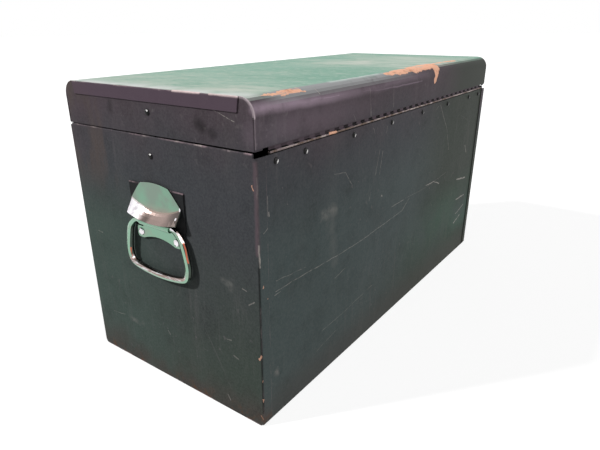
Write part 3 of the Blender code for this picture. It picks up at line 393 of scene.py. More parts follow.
# Zones: what is measured, where the zone starts and where it is full. Places are in metres, reach is the
# distance from the middle of the length, and facing is a part of the surface's normal.
ZONES = {
    "front_top": [("Y", 0.02, -0.10), ("Z", 0.23, 0.29)],
    "below_rim": [("Z", 0.31, 0.20)],
    "back_far": [("X", 0.0, -0.20), ("Z", 0.07, 0.15)],
    "back_green": [("X", 0.05, -0.19), ("Z", 0.19, 0.09)],
    "back_foot": [("Z", 0.13, 0.03), ("X", 0.20, -0.10)],
    "back_far_corner": [("Z", 0.04, 0.07), ("X", -0.20, -0.28)],
    "back_hem": [("Z", 0.06, 0.012)],
    "end_face": [("Y", 0.09, -0.12), ("Z", 0.29, 0.19)],
    "end_strip": [("facing Y", 0.5, 0.8), ("Z", 0.31, 0.20)],
    "far_half": [("X", 0.1, -0.1)],
    "end_foot": [("Z", 0.065, 0.01)],
    "end_lower_edge": [("Z", 0.022, 0.0)],
    "lid_tabs": [("reach", 0.3390, 0.3395)],
    "sheen_near": [("X", 0.11, 0.28)],
    "sheen_length": [("X", -0.10, 0.0)],
    "lid_far": [("X", -0.09, -0.24)],
    "lid_top": [("facing Z", 0.76, 0.99), ("Z", 0.34, 0.36)],
    "top_near": [("X", 0.10, 0.36)],
    "top_far": [("X", 0.06, -0.10), ("X", -0.32, -0.22), ("Y", -0.11, 0.03)],
    "top_middle": [("X", -0.02, 0.07), ("X", 0.25, 0.15), ("Y", -0.06, 0.12)],
    "top_border": [("X", 0.305, 0.338)],
    "lid_bend": [("facing Z", 0.30, 0.85), ("Y", 0.133, 0.138), ("X", -0.06, 0.10), ("X", 0.33, 0.28)],
    "chips_whole": [("X", -0.055, -0.085)],
    "plate_edge_highlight": [("Z", 0.2662, 0.2676)],
    "back_rivets": [("Y", 0.139, 0.141)],
    "near_rivets": [("X", -0.07, 0.02)],
    "end_rivets": [("reach", 0.330, 0.332)],
    "barrel_upper": [("Z", 0.3238, 0.3243)],
    "shadow_under_barrel": [("Z", 0.3222, 0.3218)],
    "gap_shade_height": [("Z", 0.3252, 0.3256), ("Z", 0.3277, 0.3274)],
    "gap_shade_depth": [("X", 0.27, 0.14)],
    "hood_flare": [("facing Z", 0.04, 0.46)],
    "hood_lip": [("Z", 0.238, 0.231)],
    "hood_face_low": [("Z", 0.250, 0.238)],
    "bail_rear": [("facing Y", 0.35, 0.70)],
    "bail_low": [("Z", 0.178, 0.168)],
    "bail_crest": [("facing Z", 0.80, 0.95)],
    "bail_under": [("facing Z", -0.30, -0.60)],
}

# Heights at which the base colour turns to the painted slate and then plum reflection, with the noise that
# makes the borders wander, and the relief
BORDER_WANDER = 0.22
SLATE_HEIGHTS = (0.16, 0.36)
PLUM_HEIGHTS = (0.36, 0.47)
DENT_HEIGHT = 0.0012
PAINT_GRAIN_HEIGHT = 0.000012
ZINC_GRAIN_HEIGHT = 0.000008

# Masks of marks at which a crisp mark starts and is full
CHIP_BORDER = (0.22, 0.34)
HINGE_CHIP_BORDER = (0.25, 0.45)
HOOD_GLINT_BORDER = (0.10, 0.50)
BAIL_GLINT_BORDER = (0.10, 0.80)
EMBER_BORDER = (0.15, 0.85)
END_CHIP_STRENGTH = 0.6

# Chalky haze on the lid's top, partly painted glare, and the part of the painted rear sheen that is left
# away from the near end
HAZE_NEAR = 0.56
HAZE_FAR = 0.8
HAZE_LEVEL = 0.6
HAZE_SWING = 0.5
HAZE_STREAKS = 0.40
SHEEN_FAR_SHARE = 0.33

# Painted shade at the cut-outs of the lid's hinge leaf, as shares of a pair of knuckles
GAP_SHADE_START = (0.0, 0.04)
GAP_SHADE_END = (0.54, 0.50)
GAP_SHADE_NEAR_SHARE = 0.4

# Bands of painted reflection across the hood, in metres along y, and the painted highlight along its fold
HOOD_WANDER = 0.010
HOOD_PALE = (-0.038, -0.028)
HOOD_ROSE = (-0.022, -0.006)
HOOD_DARK = (0.020, 0.046)
HOOD_STRIPE_Y = -0.003
HOOD_STRIPE = (0.010, 0.002)
HOOD_FOLD_HIGHLIGHT_SHARE = 2.4

# Darkening of the handle's plate, partly painted shade, darkening of the band, and the bail's painted
# bright upper side
PLATE_DARK_PAINT_AND_SHADE = 0.75
BAND_DARKENING = 0.1
BAIL_UPPER = (0.30, 0.55)
BAIL_LOW_LIFT = 0.35


# Node helpers

def add(tree, kind, sockets=None, **settings):
    """A new node, with its settings and its inputs by name or number, each a value or a socket."""
    node = tree.nodes.new(kind)
    for name, setting in settings.items():
        setattr(node, name, setting)
    for name, given in (sockets or {}).items():
        feed(tree, node.inputs[name], given)
    return node


def feed(tree, target, given):
    if isinstance(given, bpy.types.NodeSocket):
        tree.links.new(given, target)
    else:
        target.default_value = given


def with_alpha(given):
    """A colour with the fourth number that its socket takes. Anything else stays as it is."""
    return (*given, 1.0) if isinstance(given, tuple) else given


def math(tree, operation, first, second=0.0, clamp=False):
    sockets = {0: first, 1: second}
    return add(tree, "ShaderNodeMath", sockets, operation=operation, use_clamp=clamp).outputs[0]


def vector_math(tree, operation, first, second):
    node = add(tree, "ShaderNodeVectorMath", {0: first, 1: second}, operation=operation)
    return node.outputs["Value" if operation in ("DOT_PRODUCT", "DISTANCE") else "Vector"]


def scaled(tree, vector, factor):
    sockets = {0: vector, "Scale": factor}
    return add(tree, "ShaderNodeVectorMath", sockets, operation="SCALE").outputs["Vector"]


def rise(tree, value, low, high):
    """0 at low, 1 at high and smooth between them. A low above the high runs the other way."""
    sockets = {"Value": value, "From Min": low, "From Max": high}
    return add(tree, "ShaderNodeMapRange", sockets, interpolation_type="SMOOTHSTEP").outputs["Result"]


def mix(tree, kind, factor, first, second):
    """Two colours (kind RGBA) or two numbers (kind FLOAT) mixed by a factor."""
    suffix = {"RGBA": "Color", "FLOAT": "Float"}[kind]
    node = add(tree, "ShaderNodeMix", data_type=kind)
    given = {"Factor_Float": factor, f"A_{suffix}": first, f"B_{suffix}": second}
    for target in node.inputs:
        if target.identifier in given:
            feed(tree, target, with_alpha(given[target.identifier]))
    return next(found for found in node.outputs if found.identifier == f"Result_{suffix}")


def combined(tree, operation, values):
    """One math operation run through all the values."""
    total = values[0]
    for value in values[1:]:
        total = math(tree, operation, total, value)
    return total


def strongest(tree, values):
    return combined(tree, "MAXIMUM", values)


def line_mark_group():
    """A group that adds a line between two points to a mask, fading out to its half width."""
    tree = bpy.data.node_groups.new("line_mark", "ShaderNodeTree")
    for name, kind in (("Mask", "Float"), ("Place", "Vector"), ("From", "Vector"), ("To", "Vector"),
                       ("Half Width", "Float"), ("Strength", "Float")):
        tree.interface.new_socket(name, in_out="INPUT", socket_type="NodeSocket" + kind)
    tree.interface.new_socket("Mask", in_out="OUTPUT", socket_type="NodeSocketFloat")
    given = tree.nodes.new("NodeGroupInput").outputs
    along = vector_math(tree, "SUBTRACT", given["To"], given["From"])
    offset = vector_math(tree, "SUBTRACT", given["Place"], given["From"])
    length_squared = vector_math(tree, "DOT_PRODUCT", along, along)
    progress = vector_math(tree, "DOT_PRODUCT", offset, along)
    share = math(tree, "DIVIDE", progress, length_squared, clamp=True)
    distance = vector_math(tree, "DISTANCE", offset, scaled(tree, along, share))
    line = math(tree, "MULTIPLY", rise(tree, distance, given["Half Width"], 0.0), given["Strength"])
    result = tree.nodes.new("NodeGroupOutput")
    tree.links.new(math(tree, "MAXIMUM", given["Mask"], line), result.inputs["Mask"])
    return tree


LINE_MARK = line_mark_group()


class Finish:
    """A material built up in layers of colour, roughness and metal, with relief on top."""

    def __init__(self, name, colour, roughness, metallic=0.0, specular=0.5):
        self.material = bpy.data.materials.new(name)
        self.material.use_nodes = True
        self.tree = self.material.node_tree
        self.shader = self.tree.nodes["Principled BSDF"]
        self.shader.inputs["Specular IOR Level"].default_value = specular
        coordinates = self.tree.nodes.new("ShaderNodeTexCoord").outputs
        self.place = coordinates["Object"]
        self.axes = add(self.tree, "ShaderNodeSeparateXYZ", {"Vector": self.place}).outputs
        self.normal = coordinates["Normal"]
        self.facing = add(self.tree, "ShaderNodeSeparateXYZ", {"Vector": self.normal}).outputs
        self.colour = colour
        self.roughness = roughness
        self.metallic = metallic
        self.height = None

    def noise(self, scale, detail=3.0, roughness=0.5, place=None):
        sockets = {"Vector": place or self.place, "Scale": scale, "Detail": detail, "Roughness": roughness}
        return add(self.tree, "ShaderNodeTexNoise", sockets).outputs["Fac"]

    def patches(self, name):
        """A noise mask from the list of patches."""
        scale, low, high, detail, roughness = PATCHES[name]
        return rise(self.tree, self.noise(scale, detail, roughness), low, high)

    def streaks(self, name):
        """A noise mask from the list of streaks, with the place turned first and then scaled."""
        turn_deg, sizes, low, high, detail, roughness = STREAKS[name]
        turn = tuple(radians(angle) for angle in turn_deg)
        turned = add(self.tree, "ShaderNodeMapping", {"Vector": self.place, "Rotation": turn})
        sized = add(self.tree, "ShaderNodeMapping", {"Vector": turned.outputs["Vector"], "Scale": sizes})
        return rise(self.tree, self.noise(1.0, detail, roughness, sized.outputs["Vector"]), low, high)

    def measure(self, kind):
        """What the list of zones measures: reach, X, Y or Z, or facing with one of these."""
        if kind == "reach":
            return math(self.tree, "ABSOLUTE", self.axes["X"])
        values = self.facing if kind.startswith("facing") else self.axes
        return values[kind[-1]]

    def zone(self, name):
        """A mask from the list of zones, 1 where all of its measures are full."""
        masks = [rise(self.tree, self.measure(kind), low, high) for kind, low, high in ZONES[name]]
        return self.times(*masks)

    def turned_to(self, way, low, high):
        """A mask by how closely the surface faces a way."""
        return rise(self.tree, vector_math(self.tree, "DOT_PRODUCT", self.normal, way), low, high)

    def outside(self):
        """1 on faces turned away from the chest's middle, 0 on those turned to its inside."""
        reach = vector_math(self.tree, "SUBTRACT", self.place, CHEST_MIDDLE)
        return self.turned_to(reach, *OUTSIDE_BORDER)

    def ragged(self, name, place=None):
        """The place moved about by noise, so that what is drawn there gets a ragged edge."""
        scale, distance = RAGGED[name]
        place = place or self.place
        sockets = {"Vector": place, "Scale": scale, "Detail": RAGGED_DETAIL}
        noise = add(self.tree, "ShaderNodeTexNoise", sockets).outputs["Color"]
        shift = vector_math(self.tree, "SUBTRACT", noise, NOISE_MIDDLE)
        return vector_math(self.tree, "ADD", place, scaled(self.tree, shift, distance))

    def ends_folded(self, place):
        """The place with both ends of the chest folded onto x > 0."""
        split = add(self.tree, "ShaderNodeSeparateXYZ", {"Vector": place}).outputs
        sockets = {"X": math(self.tree, "ABSOLUTE", split["X"]), "Y": split["Y"], "Z": split["Z"]}
        return add(self.tree, "ShaderNodeCombineXYZ", sockets).outputs["Vector"]

    def marks(self, place, marks):
        """The strongest of the given marks at each place. A mark is points, a half width and a strength."""
        mask = 0.0
        for points, half_width, strength in marks:
            for start, end in zip(points, points[1:]):
                sockets = {"Mask": mask, "Place": place, "From": Vector(start) * MM, "To": Vector(end) * MM,
                           "Half Width": half_width * MM, "Strength": strength}
                mask = add(self.tree, "ShaderNodeGroup", sockets, node_tree=LINE_MARK).outputs["Mask"]
        return mask

    def times(self, *values):
        return combined(self.tree, "MULTIPLY", values)

    def rest_of(self, mask):
        return math(self.tree, "SUBTRACT", 1.0, mask)

    def blend(self, mask, first, second):
        return mix(self.tree, "RGBA", mask, first, second)

    def level(self, mask, least):
        """A number that runs from the least to 1 with the mask."""
        return mix(self.tree, "FLOAT", mask, least, 1.0)

    def layer(self, mask, colour, roughness=None, metallic=None, share=None):
        """Covers what is there by the mask, or by that share of it."""
        if share is not None:
            mask = self.times(mask, share)
        self.colour = self.blend(mask, self.colour, colour)
        if roughness is not None:
            self.roughness = mix(self.tree, "FLOAT", mask, self.roughness, roughness)
        if metallic is not None:
            self.metallic = mix(self.tree, "FLOAT", mask, self.metallic, metallic)

    def relief(self, shape, height):
        """Raises the surface by a height in metres where the shape is 1."""
        step = math(self.tree, "MULTIPLY", shape, height)
        self.height = step if self.height is None else math(self.tree, "ADD", self.height, step)

    def done(self):
        inputs = self.shader.inputs
        feed(self.tree, inputs["Base Color"], with_alpha(self.colour))
        feed(self.tree, inputs["Roughness"], self.roughness)
        feed(self.tree, inputs["Metallic"], self.metallic)
        if self.height is not None:
            sockets = {"Height": self.height, "Distance": 1.0, "Strength": 1.0}
            bump = add(self.tree, "ShaderNodeBump", sockets)
            self.tree.links.new(bump.outputs["Normal"], inputs["Normal"])
        return self.material


# Paint

def old_paint(name):
    """The dark green paint that all sheets share, before its age and marks, turning higher up to slate and
    then plum as a painted reflection of dim purplish surroundings.
    """
    paint = Finish(name, GREEN_DEEP, roughness=0.42, specular=0.02)
    cloud = paint.noise(4.5, detail=4.0, roughness=0.6)
    height = math(paint.tree, "ADD", paint.axes["Z"], paint.times(cloud, BORDER_WANDER))
    # Painted reflection: slate and then plum with height, for the dim purplish surroundings that the upper
    # sheets reflect
    paint.layer(rise(paint.tree, height, *SLATE_HEIGHTS), SLATE_REFLECTION)
    paint.layer(rise(paint.tree, height, *PLUM_HEIGHTS), PLUM_REFLECTION)
    paint.relief(paint.noise(4.0, detail=1.0, roughness=0.4), DENT_HEIGHT)
    paint.relief(paint.noise(300.0, detail=2.0, roughness=0.5), PAINT_GRAIN_HEIGHT)
    return paint


def age(paint):
    """Adds grime, runs, fine scratches, specks and grain to the paint."""
    paint.layer(paint.patches("grime_wide"), GRIME_AND_SHADE, roughness=0.5, share=0.22)
    paint.layer(paint.patches("grime_fine"), GRIME_AND_SHADE, roughness=0.5, share=0.25)
    paint.layer(paint.streaks("dust"), DUST, roughness=0.6, share=0.12)
    hairs = strongest(paint.tree, [paint.streaks("hairs"), paint.streaks("hairs_steep")])
    rubs = [
        (paint.streaks("runs"), "run_areas", 0.16),
        (paint.patches("dots"), "dot_areas", 0.30),
        (hairs, "hair_areas", 0.35),
        (paint.patches("specks"), "speck_areas", 0.7),
    ]
    for mask, areas, share in rubs:
        paint.layer(paint.times(mask, paint.patches(areas)), RUB, roughness=0.6, share=share)
    paint.layer(paint.times(paint.streaks("smears"), paint.zone("front_top")), UMBER_SMEAR, share=0.7)
    grain = paint.patches("grain")
    paint.layer(grain, DUST, share=0.12)
    paint.layer(paint.rest_of(grain), GRIME_AND_SHADE, share=0.12)


def wear(paint, scratches, edges, chips=(), smudges=(), chip_strength=1.0):
    """Adds the listed marks on top of the paint, on the outside only. The edges may hold painted
    highlights, drawn in the colours of worn edges.
    """
    outside = paint.outside()
    if smudges:
        soft = paint.marks(paint.ragged("smudges"), smudges)
        paint.layer(paint.times(soft, paint.patches("smudges"), outside), DUST, roughness=0.6)
    lines = paint.marks(paint.ragged("scratches"), scratches)
    paint.layer(paint.times(lines, paint.patches("scratches"), outside), RUB_PALE, roughness=0.55)
    # Worn edges, and on the body's rim a painted highlight in the same colours
    worn = paint.marks(paint.ends_folded(paint.ragged("edges")), edges)
    bare_and_highlight = paint.blend(paint.patches("bare_edges"), ROSE_RUB_AND_HIGHLIGHT, ROSE_PALE)
    paint.layer(paint.times(worn, paint.patches("edges"), outside), bare_and_highlight, roughness=0.5)
    if chips:
        deep = paint.marks(paint.ragged("chips", paint.ragged("chips_wide")), chips)
        deep = rise(paint.tree, deep, *CHIP_BORDER)
        primer = paint.blend(paint.patches("chip_rims"), PRIMER, PRIMER_DARK)
        paint.layer(paint.times(deep, outside, chip_strength), primer, roughness=0.7)


def wrapper_paint():
    paint = old_paint("wrapper_paint")
    paint.layer(paint.zone("below_rim"), TEAL, share=0.85)
    # Painted shade: darker towards the far end of the back
    paint.layer(paint.zone("back_far"), GREEN_SHADE, share=0.9)
    paint.layer(paint.times(paint.zone("back_green"), paint.patches("back_green")), GREEN_RICH, share=0.9)
    beside_corner = paint.rest_of(paint.zone("back_far_corner"))
    # Painted shade: darker along the foot of the back, except at its far corner
    paint.layer(paint.times(paint.zone("back_foot"), beside_corner), GREEN_SHADE, share=0.65)
    age(paint)
    paint.layer(paint.zone("back_hem"), UMBER, share=0.45)
    wear(paint, BACK_SCRATCHES, BODY_EDGE_WEAR_AND_RIM_HIGHLIGHT, smudges=BACK_SMUDGES)
    return paint.done()


def end_paint():
    paint = old_paint("end_paint")
    paint.layer(paint.zone("end_face"), GREEN_SIDE)
    strip = paint.zone("end_strip")
    paint.layer(strip, TEAL, share=0.85)
    # Painted shade on the far half of the flange strip, which turns away from the light
    paint.layer(paint.times(strip, paint.zone("far_half")), GREEN_SHADE)
    paint.layer(paint.times(paint.zone("end_foot"), paint.patches("end_foot")), UMBER, share=0.8)
    age(paint)
    paint.layer(paint.marks(paint.ends_folded(paint.place), CORNER_SHADES), GRIME_AND_SHADE)
    # Painted highlight along the rounded rear corner of each end
    paint.layer(paint.marks(paint.ends_folded(paint.ragged("corner_highlights")), CORNER_HIGHLIGHTS), ROSE_CORNER_HIGHLIGHT)
    wear(paint, END_SCRATCHES, BODY_EDGE_WEAR_AND_RIM_HIGHLIGHT, END_CHIPS, END_SMUDGES, END_CHIP_STRENGTH)
    rusty = paint.times(paint.zone("end_lower_edge"), paint.patches("rust"))
    paint.layer(rusty, RUST, roughness=0.75, share=0.5)
    return paint.done()


def lid_top_colour(paint):
    """Faded green, paler on the up-facing top as a painted reflection, chalky towards both ends with haze
    that is partly painted glare, with streaks, scuffs and a pale border at the near end.
    """
    drift = paint.patches("top_drift")
    near = paint.times(paint.zone("top_near"), HAZE_NEAR)
    far = paint.times(paint.zone("top_far"), HAZE_FAR)
    swing = math(paint.tree, "ADD", paint.times(drift, HAZE_SWING), HAZE_LEVEL)
    glare_haze = paint.times(math(paint.tree, "ADD", near, far), swing)
    chalk_and_glare = paint.times(paint.streaks("top_chalk_and_glare"), drift, HAZE_STREAKS)
    colour = paint.blend(math(paint.tree, "ADD", glare_haze, chalk_and_glare, clamp=True), GREEN_FADED_AND_REFLECTION, GREEN_CHALK_AND_GLARE)
    coats = [
        (paint.times(paint.streaks("top_dark"), 0.6), GREEN_STREAK),
        (paint.times(paint.zone("top_middle"), 0.55), GREEN_STREAK),
        (paint.times(paint.streaks("top_scuffs"), drift, 0.6), ROSE_PALE),
        (paint.times(paint.streaks("top_fine"), 0.42), GREEN_CHALK_AND_GLARE),
        (paint.times(paint.zone("top_border"), paint.patches("top_border"), 0.9), EDGE_PALE),
    ]
    for mask, coat in coats:
        colour = paint.blend(mask, colour, coat)
    return colour


def lid_paint():
    paint = old_paint("lid_paint")
    age(paint)
    outside = paint.outside()
    paint.layer(paint.zone("lid_tabs"), PLUM_TAB, share=0.8)
    paint.layer(paint.marks(paint.ragged("stains"), LID_STAINS), GRIME_AND_SHADE)
    sheen = paint.marks(paint.ragged("sheen"), LID_SHEEN)
    near_share = paint.level(paint.zone("sheen_near"), SHEEN_FAR_SHARE)
    sheen = paint.times(sheen, near_share, paint.zone("sheen_length"))
    sheen = strongest(paint.tree, [sheen, paint.marks(paint.ragged("sheen"), LID_GLINTS)])
    paint.layer(paint.times(sheen, paint.patches("sheen"), outside), PLUM_SHEEN)
    paint.layer(paint.zone("lid_far"), OLIVE_FAR)
    # The up-facing top: faded paint, paler still as a painted reflection, with haze that is partly painted
    # glare
    paint.layer(paint.zone("lid_top"), lid_top_colour(paint), roughness=0.45)
    paint.layer(paint.times(paint.zone("lid_bend"), paint.patches("bend"), outside), BEND_GREY)
    pale_bend_line = paint.marks(paint.ragged("bend_lines"), BEND_LINES)
    paint.layer(paint.times(pale_bend_line, paint.patches("bend_lines"), outside), BEND_PALE)
    rims = paint.marks(paint.ends_folded(paint.ragged("rims")), LID_RIMS)
    paint.layer(paint.times(rims, outside), ROSE_WHITE)
    # Painted highlight round the lid's rear corners and down their edges
    corners = paint.marks(paint.ends_folded(paint.ragged("corners")), LID_CORNER_HIGHLIGHTS)
    paint.layer(paint.times(corners, outside), ROSE_HIGHLIGHT)
    broken = strongest(paint.tree, [paint.streaks("chip_strands"), paint.zone("chips_whole")])
    wear(paint, LID_SCRATCHES, LID_EDGES, LID_CHIPS, chip_strength=broken)
    return paint.done()


def plate_paint():
    paint = old_paint("plate_paint")
    age(paint)
    # Darkened all over: partly dark paint, partly painted shade under the hood
    paint.layer(PLATE_DARK_PAINT_AND_SHADE, GRIME_AND_SHADE)
    # Painted highlight along the plate's top edge
    paint.layer(paint.times(paint.zone("plate_edge_highlight"), paint.patches("plate_edge_highlight")), ROSE_RUB_AND_HIGHLIGHT)
    return paint.done()


def rivet_paint():
    paint = Finish("rivet_paint", GRIME_AND_SHADE, roughness=0.30, specular=0.12)
    # Painted highlights on the rivets' domes, fainter towards the far end of the back
    back_highlight = paint.turned_to(RIVET_HIGHLIGHT_BACK, *RIVET_HIGHLIGHT_SPREAD_BACK)
    near_share = paint.level(paint.zone("near_rivets"), RIVET_FAR_SHARE)
    back_highlight = paint.times(back_highlight, paint.zone("back_rivets"), near_share)
    end_highlight = paint.times(paint.turned_to(RIVET_HIGHLIGHT_END, *RIVET_HIGHLIGHT_SPREAD_END), paint.zone("end_rivets"))
    paint.layer(strongest(paint.tree, [back_highlight, end_highlight]), RIVET_HIGHLIGHT, roughness=0.35)
    paint.layer(paint.patches("rivet_dots"), RUB, roughness=0.4, share=0.4)
    return paint.done()


# Bare and plated metal

def hinge_steel(name, upper):
    """The worn barrel of the hinge, under the given colour on the part above its middle, with a painted
    shadow line along its underside.
    """
    steel = Finish(name, HINGE_ROSE, roughness=0.55, specular=0.1)
    steel.layer(steel.streaks("barrel"), ROSE_PALE, roughness=0.5, share=0.9)
    steel.layer(steel.patches("barrel_brown"), STEEL_BROWN, roughness=0.6, share=0.9)
    steel.layer(steel.zone("barrel_upper"), upper, roughness=0.6)
    # Painted shadow line along the barrel's underside
    steel.layer(steel.zone("shadow_under_barrel"), GRIME_AND_SHADE, roughness=0.6)
    chips = steel.marks(steel.ragged("hinge_chips"), HINGE_CHIPS)
    steel.layer(rise(steel.tree, chips, *HINGE_CHIP_BORDER), PRIMER, roughness=0.7)
    return steel


def hinge_lid_steel():
    """The lid's leaf, with black painted shade over each knuckle of the other leaf, where it is cut away.
    """
    steel = hinge_steel("hinge_lid_steel", PLUM_REFLECTION)
    along = math(steel.tree, "ADD", steel.axes["X"], HINGE_LENGTH / 2)
    share = math(steel.tree, "FRACT", math(steel.tree, "DIVIDE", along, 2 * KNUCKLE_PITCH))
    cut = steel.times(rise(steel.tree, share, *GAP_SHADE_START), rise(steel.tree, share, *GAP_SHADE_END))
    depth = steel.level(steel.zone("gap_shade_depth"), GAP_SHADE_NEAR_SHARE)
    # Black painted shade where the gap under the lid's edge shows between the knuckles
    steel.layer(steel.times(cut, steel.zone("gap_shade_height"), depth), SHADE_BLACK, roughness=0.8)
    return steel.done()


def zinc_plate():
    zinc = Finish("zinc_plate", ZINC, roughness=0.34, metallic=1.0)
    zinc.layer(zinc.patches("zinc_dull"), ZINC_DULL, roughness=0.48)
    zinc.layer(zinc.patches("zinc_brown"), STEEL_BROWN, roughness=0.6, metallic=0.4, share=0.5)
    zinc.relief(zinc.noise(500.0, detail=3.0, roughness=0.6), ZINC_GRAIN_HEIGHT)
    return zinc.done()


def old_chrome(name, colour=CHROME, roughness=0.13, metallic=1.0):
    chrome = Finish(name, colour, roughness, metallic, CHROME_SPECULAR)
    chrome.layer(chrome.patches("chrome_film"), CHROME_ROSE, roughness=0.26, share=0.35)
    chrome.layer(chrome.streaks("chrome_hairs"), CHROME_ROSE, roughness=0.35, share=0.4)
    return chrome


def hood_chrome():
    """Painted reflections: pale and rose bands on the flared lip, and green on the upright face."""
    chrome = old_chrome("hood_chrome", CHROME_LILAC, roughness=0.45, metallic=0.0)
    wander = chrome.times(chrome.noise(70.0), HOOD_WANDER)
    across = math(chrome.tree, "ADD", chrome.axes["Y"], wander)
    # Painted reflections: white and mauve to the left, rose across the middle, dark to the right, a dark
    # stripe on the lip
    chrome.layer(rise(chrome.tree, across, *HOOD_PALE), CHROME_PALE)
    chrome.layer(chrome.patches("hood_mauve"), CHROME_MAUVE, share=0.5)
    chrome.layer(rise(chrome.tree, across, *HOOD_ROSE), CHROME_ROSE, roughness=0.24, metallic=1.0)
    chrome.layer(rise(chrome.tree, across, *HOOD_DARK), CHROME_DARK, roughness=0.24, share=0.75)
    from_stripe = math(chrome.tree, "ABSOLUTE", math(chrome.tree, "SUBTRACT", across, HOOD_STRIPE_Y))
    stripe = rise(chrome.tree, from_stripe, *HOOD_STRIPE)
    chrome.layer(chrome.times(stripe, chrome.zone("hood_lip")), CHROME_DARK, share=0.6)
    flare = chrome.zone("hood_flare")
    face = chrome.rest_of(flare)
    # Painted reflection of the green paint on the upright face
    green_reflection = chrome.blend(chrome.patches("hood_green"), CHROME_SAGE, CHROME_GREEN)
    chrome.layer(face, green_reflection, roughness=0.3, metallic=1.0)
    chrome.layer(face, CHROME_DARK, share=0.2)
    chrome.layer(chrome.times(face, chrome.zone("hood_face_low")), CHROME_ROSE, share=0.5)
    # Painted highlight along the fold between face and lip
    chrome.layer(chrome.times(face, flare), CHROME_TAN, share=HOOD_FOLD_HIGHLIGHT_SHARE)
    glints = chrome.marks(chrome.ends_folded(chrome.place), HOOD_GLINTS)
    chrome.layer(rise(chrome.tree, glints, *HOOD_GLINT_BORDER), CHROME)
    return chrome.done()


# The handle's band: green painted reflection, a little darker all over, with painted shade along the crease
# below the tunnel
def band_chrome():
    chrome = old_chrome("band_chrome", CHROME_GREEN)
    chrome.layer(BAND_DARKENING, CHROME_DARK)
    chrome.layer(chrome.marks(chrome.ends_folded(chrome.place), BAND_CREASE_SHADES), CHROME_DARK)
    return chrome.done()


def bail_chrome():
    """Painted reflections: green below, bright above, dark along the crest and towards the rear."""
    chrome = old_chrome("bail_chrome", CHROME_LEAF)
    chrome.layer(chrome.zone("bail_rear"), CHROME_DARK, share=0.9)
    lift = chrome.times(chrome.zone("bail_low"), BAIL_LOW_LIFT)
    upper = rise(chrome.tree, math(chrome.tree, "ADD", chrome.facing["Z"], lift), *BAIL_UPPER)
    chrome.layer(upper, chrome.blend(chrome.streaks("bail"), CHROME, CHROME_ROSE))
    chrome.layer(chrome.zone("bail_crest"), CHROME_DARK, share=0.8)
    chrome.layer(chrome.zone("bail_under"), CHROME_GREEN)
    ember = chrome.marks(chrome.ends_folded(chrome.ragged("ember")), BAIL_STREAKS)
    chrome.layer(rise(chrome.tree, ember, *EMBER_BORDER), CHROME_EMBER)
    glints = chrome.marks(chrome.ends_folded(chrome.place), BAIL_GLINTS)
    chrome.layer(rise(chrome.tree, glints, *BAIL_GLINT_BORDER), CHROME)
    return chrome.done()


# Stage

def seen_directly(tree):
    """1 on rays from the camera or off a shiny or clear surface, 0 on rays that carry diffuse light."""
    rays = tree.nodes.new("ShaderNodeLightPath").outputs
    return strongest(tree, [rays["Is Camera Ray"], rays["Is Glossy Ray"], rays["Is Transmission Ray"]])


def make_world():
    world = bpy.data.worlds.new("studio")
    bpy.context.scene.world = world
    world.use_nodes = True
    background = world.node_tree.nodes["Background"]
    background.inputs["Color"].default_value = with_alpha(WHITE)
    strength = mix(world.node_tree, "FLOAT", seen_directly(world.node_tree), AMBIENT, 1.0)
    world.node_tree.links.new(strength, background.inputs["Strength"])


def make_floor():
    half = FLOOR_SIZE / 2
    corners = [(-half, -half, 0), (half, -half, 0), (half, half, 0), (-half, half, 0)]
    mesh = bpy.data.meshes.new("floor")
    mesh.from_pydata(corners, [], [(0, 1, 2, 3)])
    finish = Finish("pale_floor", FLOOR_COLOUR, FLOOR_ROUGHNESS, specular=0.0)
    glow = finish.times(seen_directly(finish.tree), FLOOR_GLOW)
    finish.shader.inputs["Emission Color"].default_value = with_alpha(WHITE)
    finish.tree.links.new(glow, finish.shader.inputs["Emission Strength"])
    mesh.materials.append(finish.done())
    floor = bpy.data.objects.new("floor", mesh)
    bpy.context.collection.objects.link(floor)


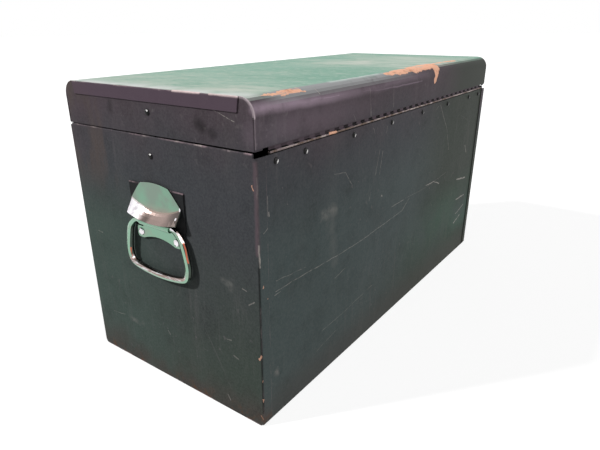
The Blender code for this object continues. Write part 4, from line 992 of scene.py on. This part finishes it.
def make_suns():
    for name, settings in SUNS.items():
        light = bpy.data.lights.new(name, "SUN")
        light.energy = settings["strength"]
        light.angle = radians(settings["spread_deg"])
        lamp = bpy.data.objects.new(name, light)
        lamp.rotation_euler = Vector(settings["towards"]).to_track_quat("Z", "Y").to_euler()
        bpy.context.collection.objects.link(lamp)


def make_camera():
    data = bpy.data.cameras.new("photo_view")
    data.sensor_width = CAMERA_SENSOR
    data.lens = CAMERA_LENS
    data.shift_x, data.shift_y = CAMERA_SHIFT
    data.clip_start = CAMERA_NEAR_CLIP
    camera = bpy.data.objects.new("photo_view", data)
    turn = Vector(CAMERA_LOOK).to_track_quat("-Z", "Y").to_matrix().to_4x4()
    roll = Matrix.Rotation(radians(CAMERA_ROLL_DEG), 4, "Z")
    camera.matrix_world = Matrix.Translation(CAMERA_PLACE) @ turn @ roll
    bpy.context.collection.objects.link(camera)
    bpy.context.scene.camera = camera


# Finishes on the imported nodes

def soften(node):
    bevel = node.modifiers.new("Soft edges", "BEVEL")
    bevel.width = BEVEL
    bevel.segments = BEVEL_SEGMENTS
    bevel.limit_method = "ANGLE"
    bevel.angle_limit = radians(BEVEL_ANGLE_DEG)
    bevel.harden_normals = True


def dress(by_slot, by_name):
    """Gives each node the finish for the start of its name, or else the one for its slot."""
    slots = {entry["node"]: entry["material_slot"] for entry in frame["record"]["subparts"]}
    for name, node in frame["nodes"].items():
        named = [finish for start, finish in by_name.items() if name.startswith(start)]
        node.data.materials.clear()
        node.data.materials.append(named[0] if named else by_slot[slots[name]])


make_world()
make_floor()
make_suns()
make_camera()
dress(
    by_slot={
        "green_paint": wrapper_paint(),
        "painted_rivet": rivet_paint(),
        # The body's leaf: its upper part black as painted shade, where it lies under the lid's edge
        "worn_steel": hinge_steel("hinge_steel", SHADE_BLACK).done(),
        "zinc_steel": zinc_plate(),
        "chrome": old_chrome("rivet_chrome").done(),
    },
    by_name={
        "body_end": end_paint(),
        "lid_": lid_paint(),
        "hinge_lid_leaf": hinge_lid_steel(),
        "handle_plate": plate_paint(),
        "handle_hood": hood_chrome(),
        "handle_saddle": band_chrome(),
        "handle_bail": bail_chrome(),
    },
)
for node in frame["nodes"].values():
    soften(node)
bpy.context.scene.view_settings.view_transform = "Standard"
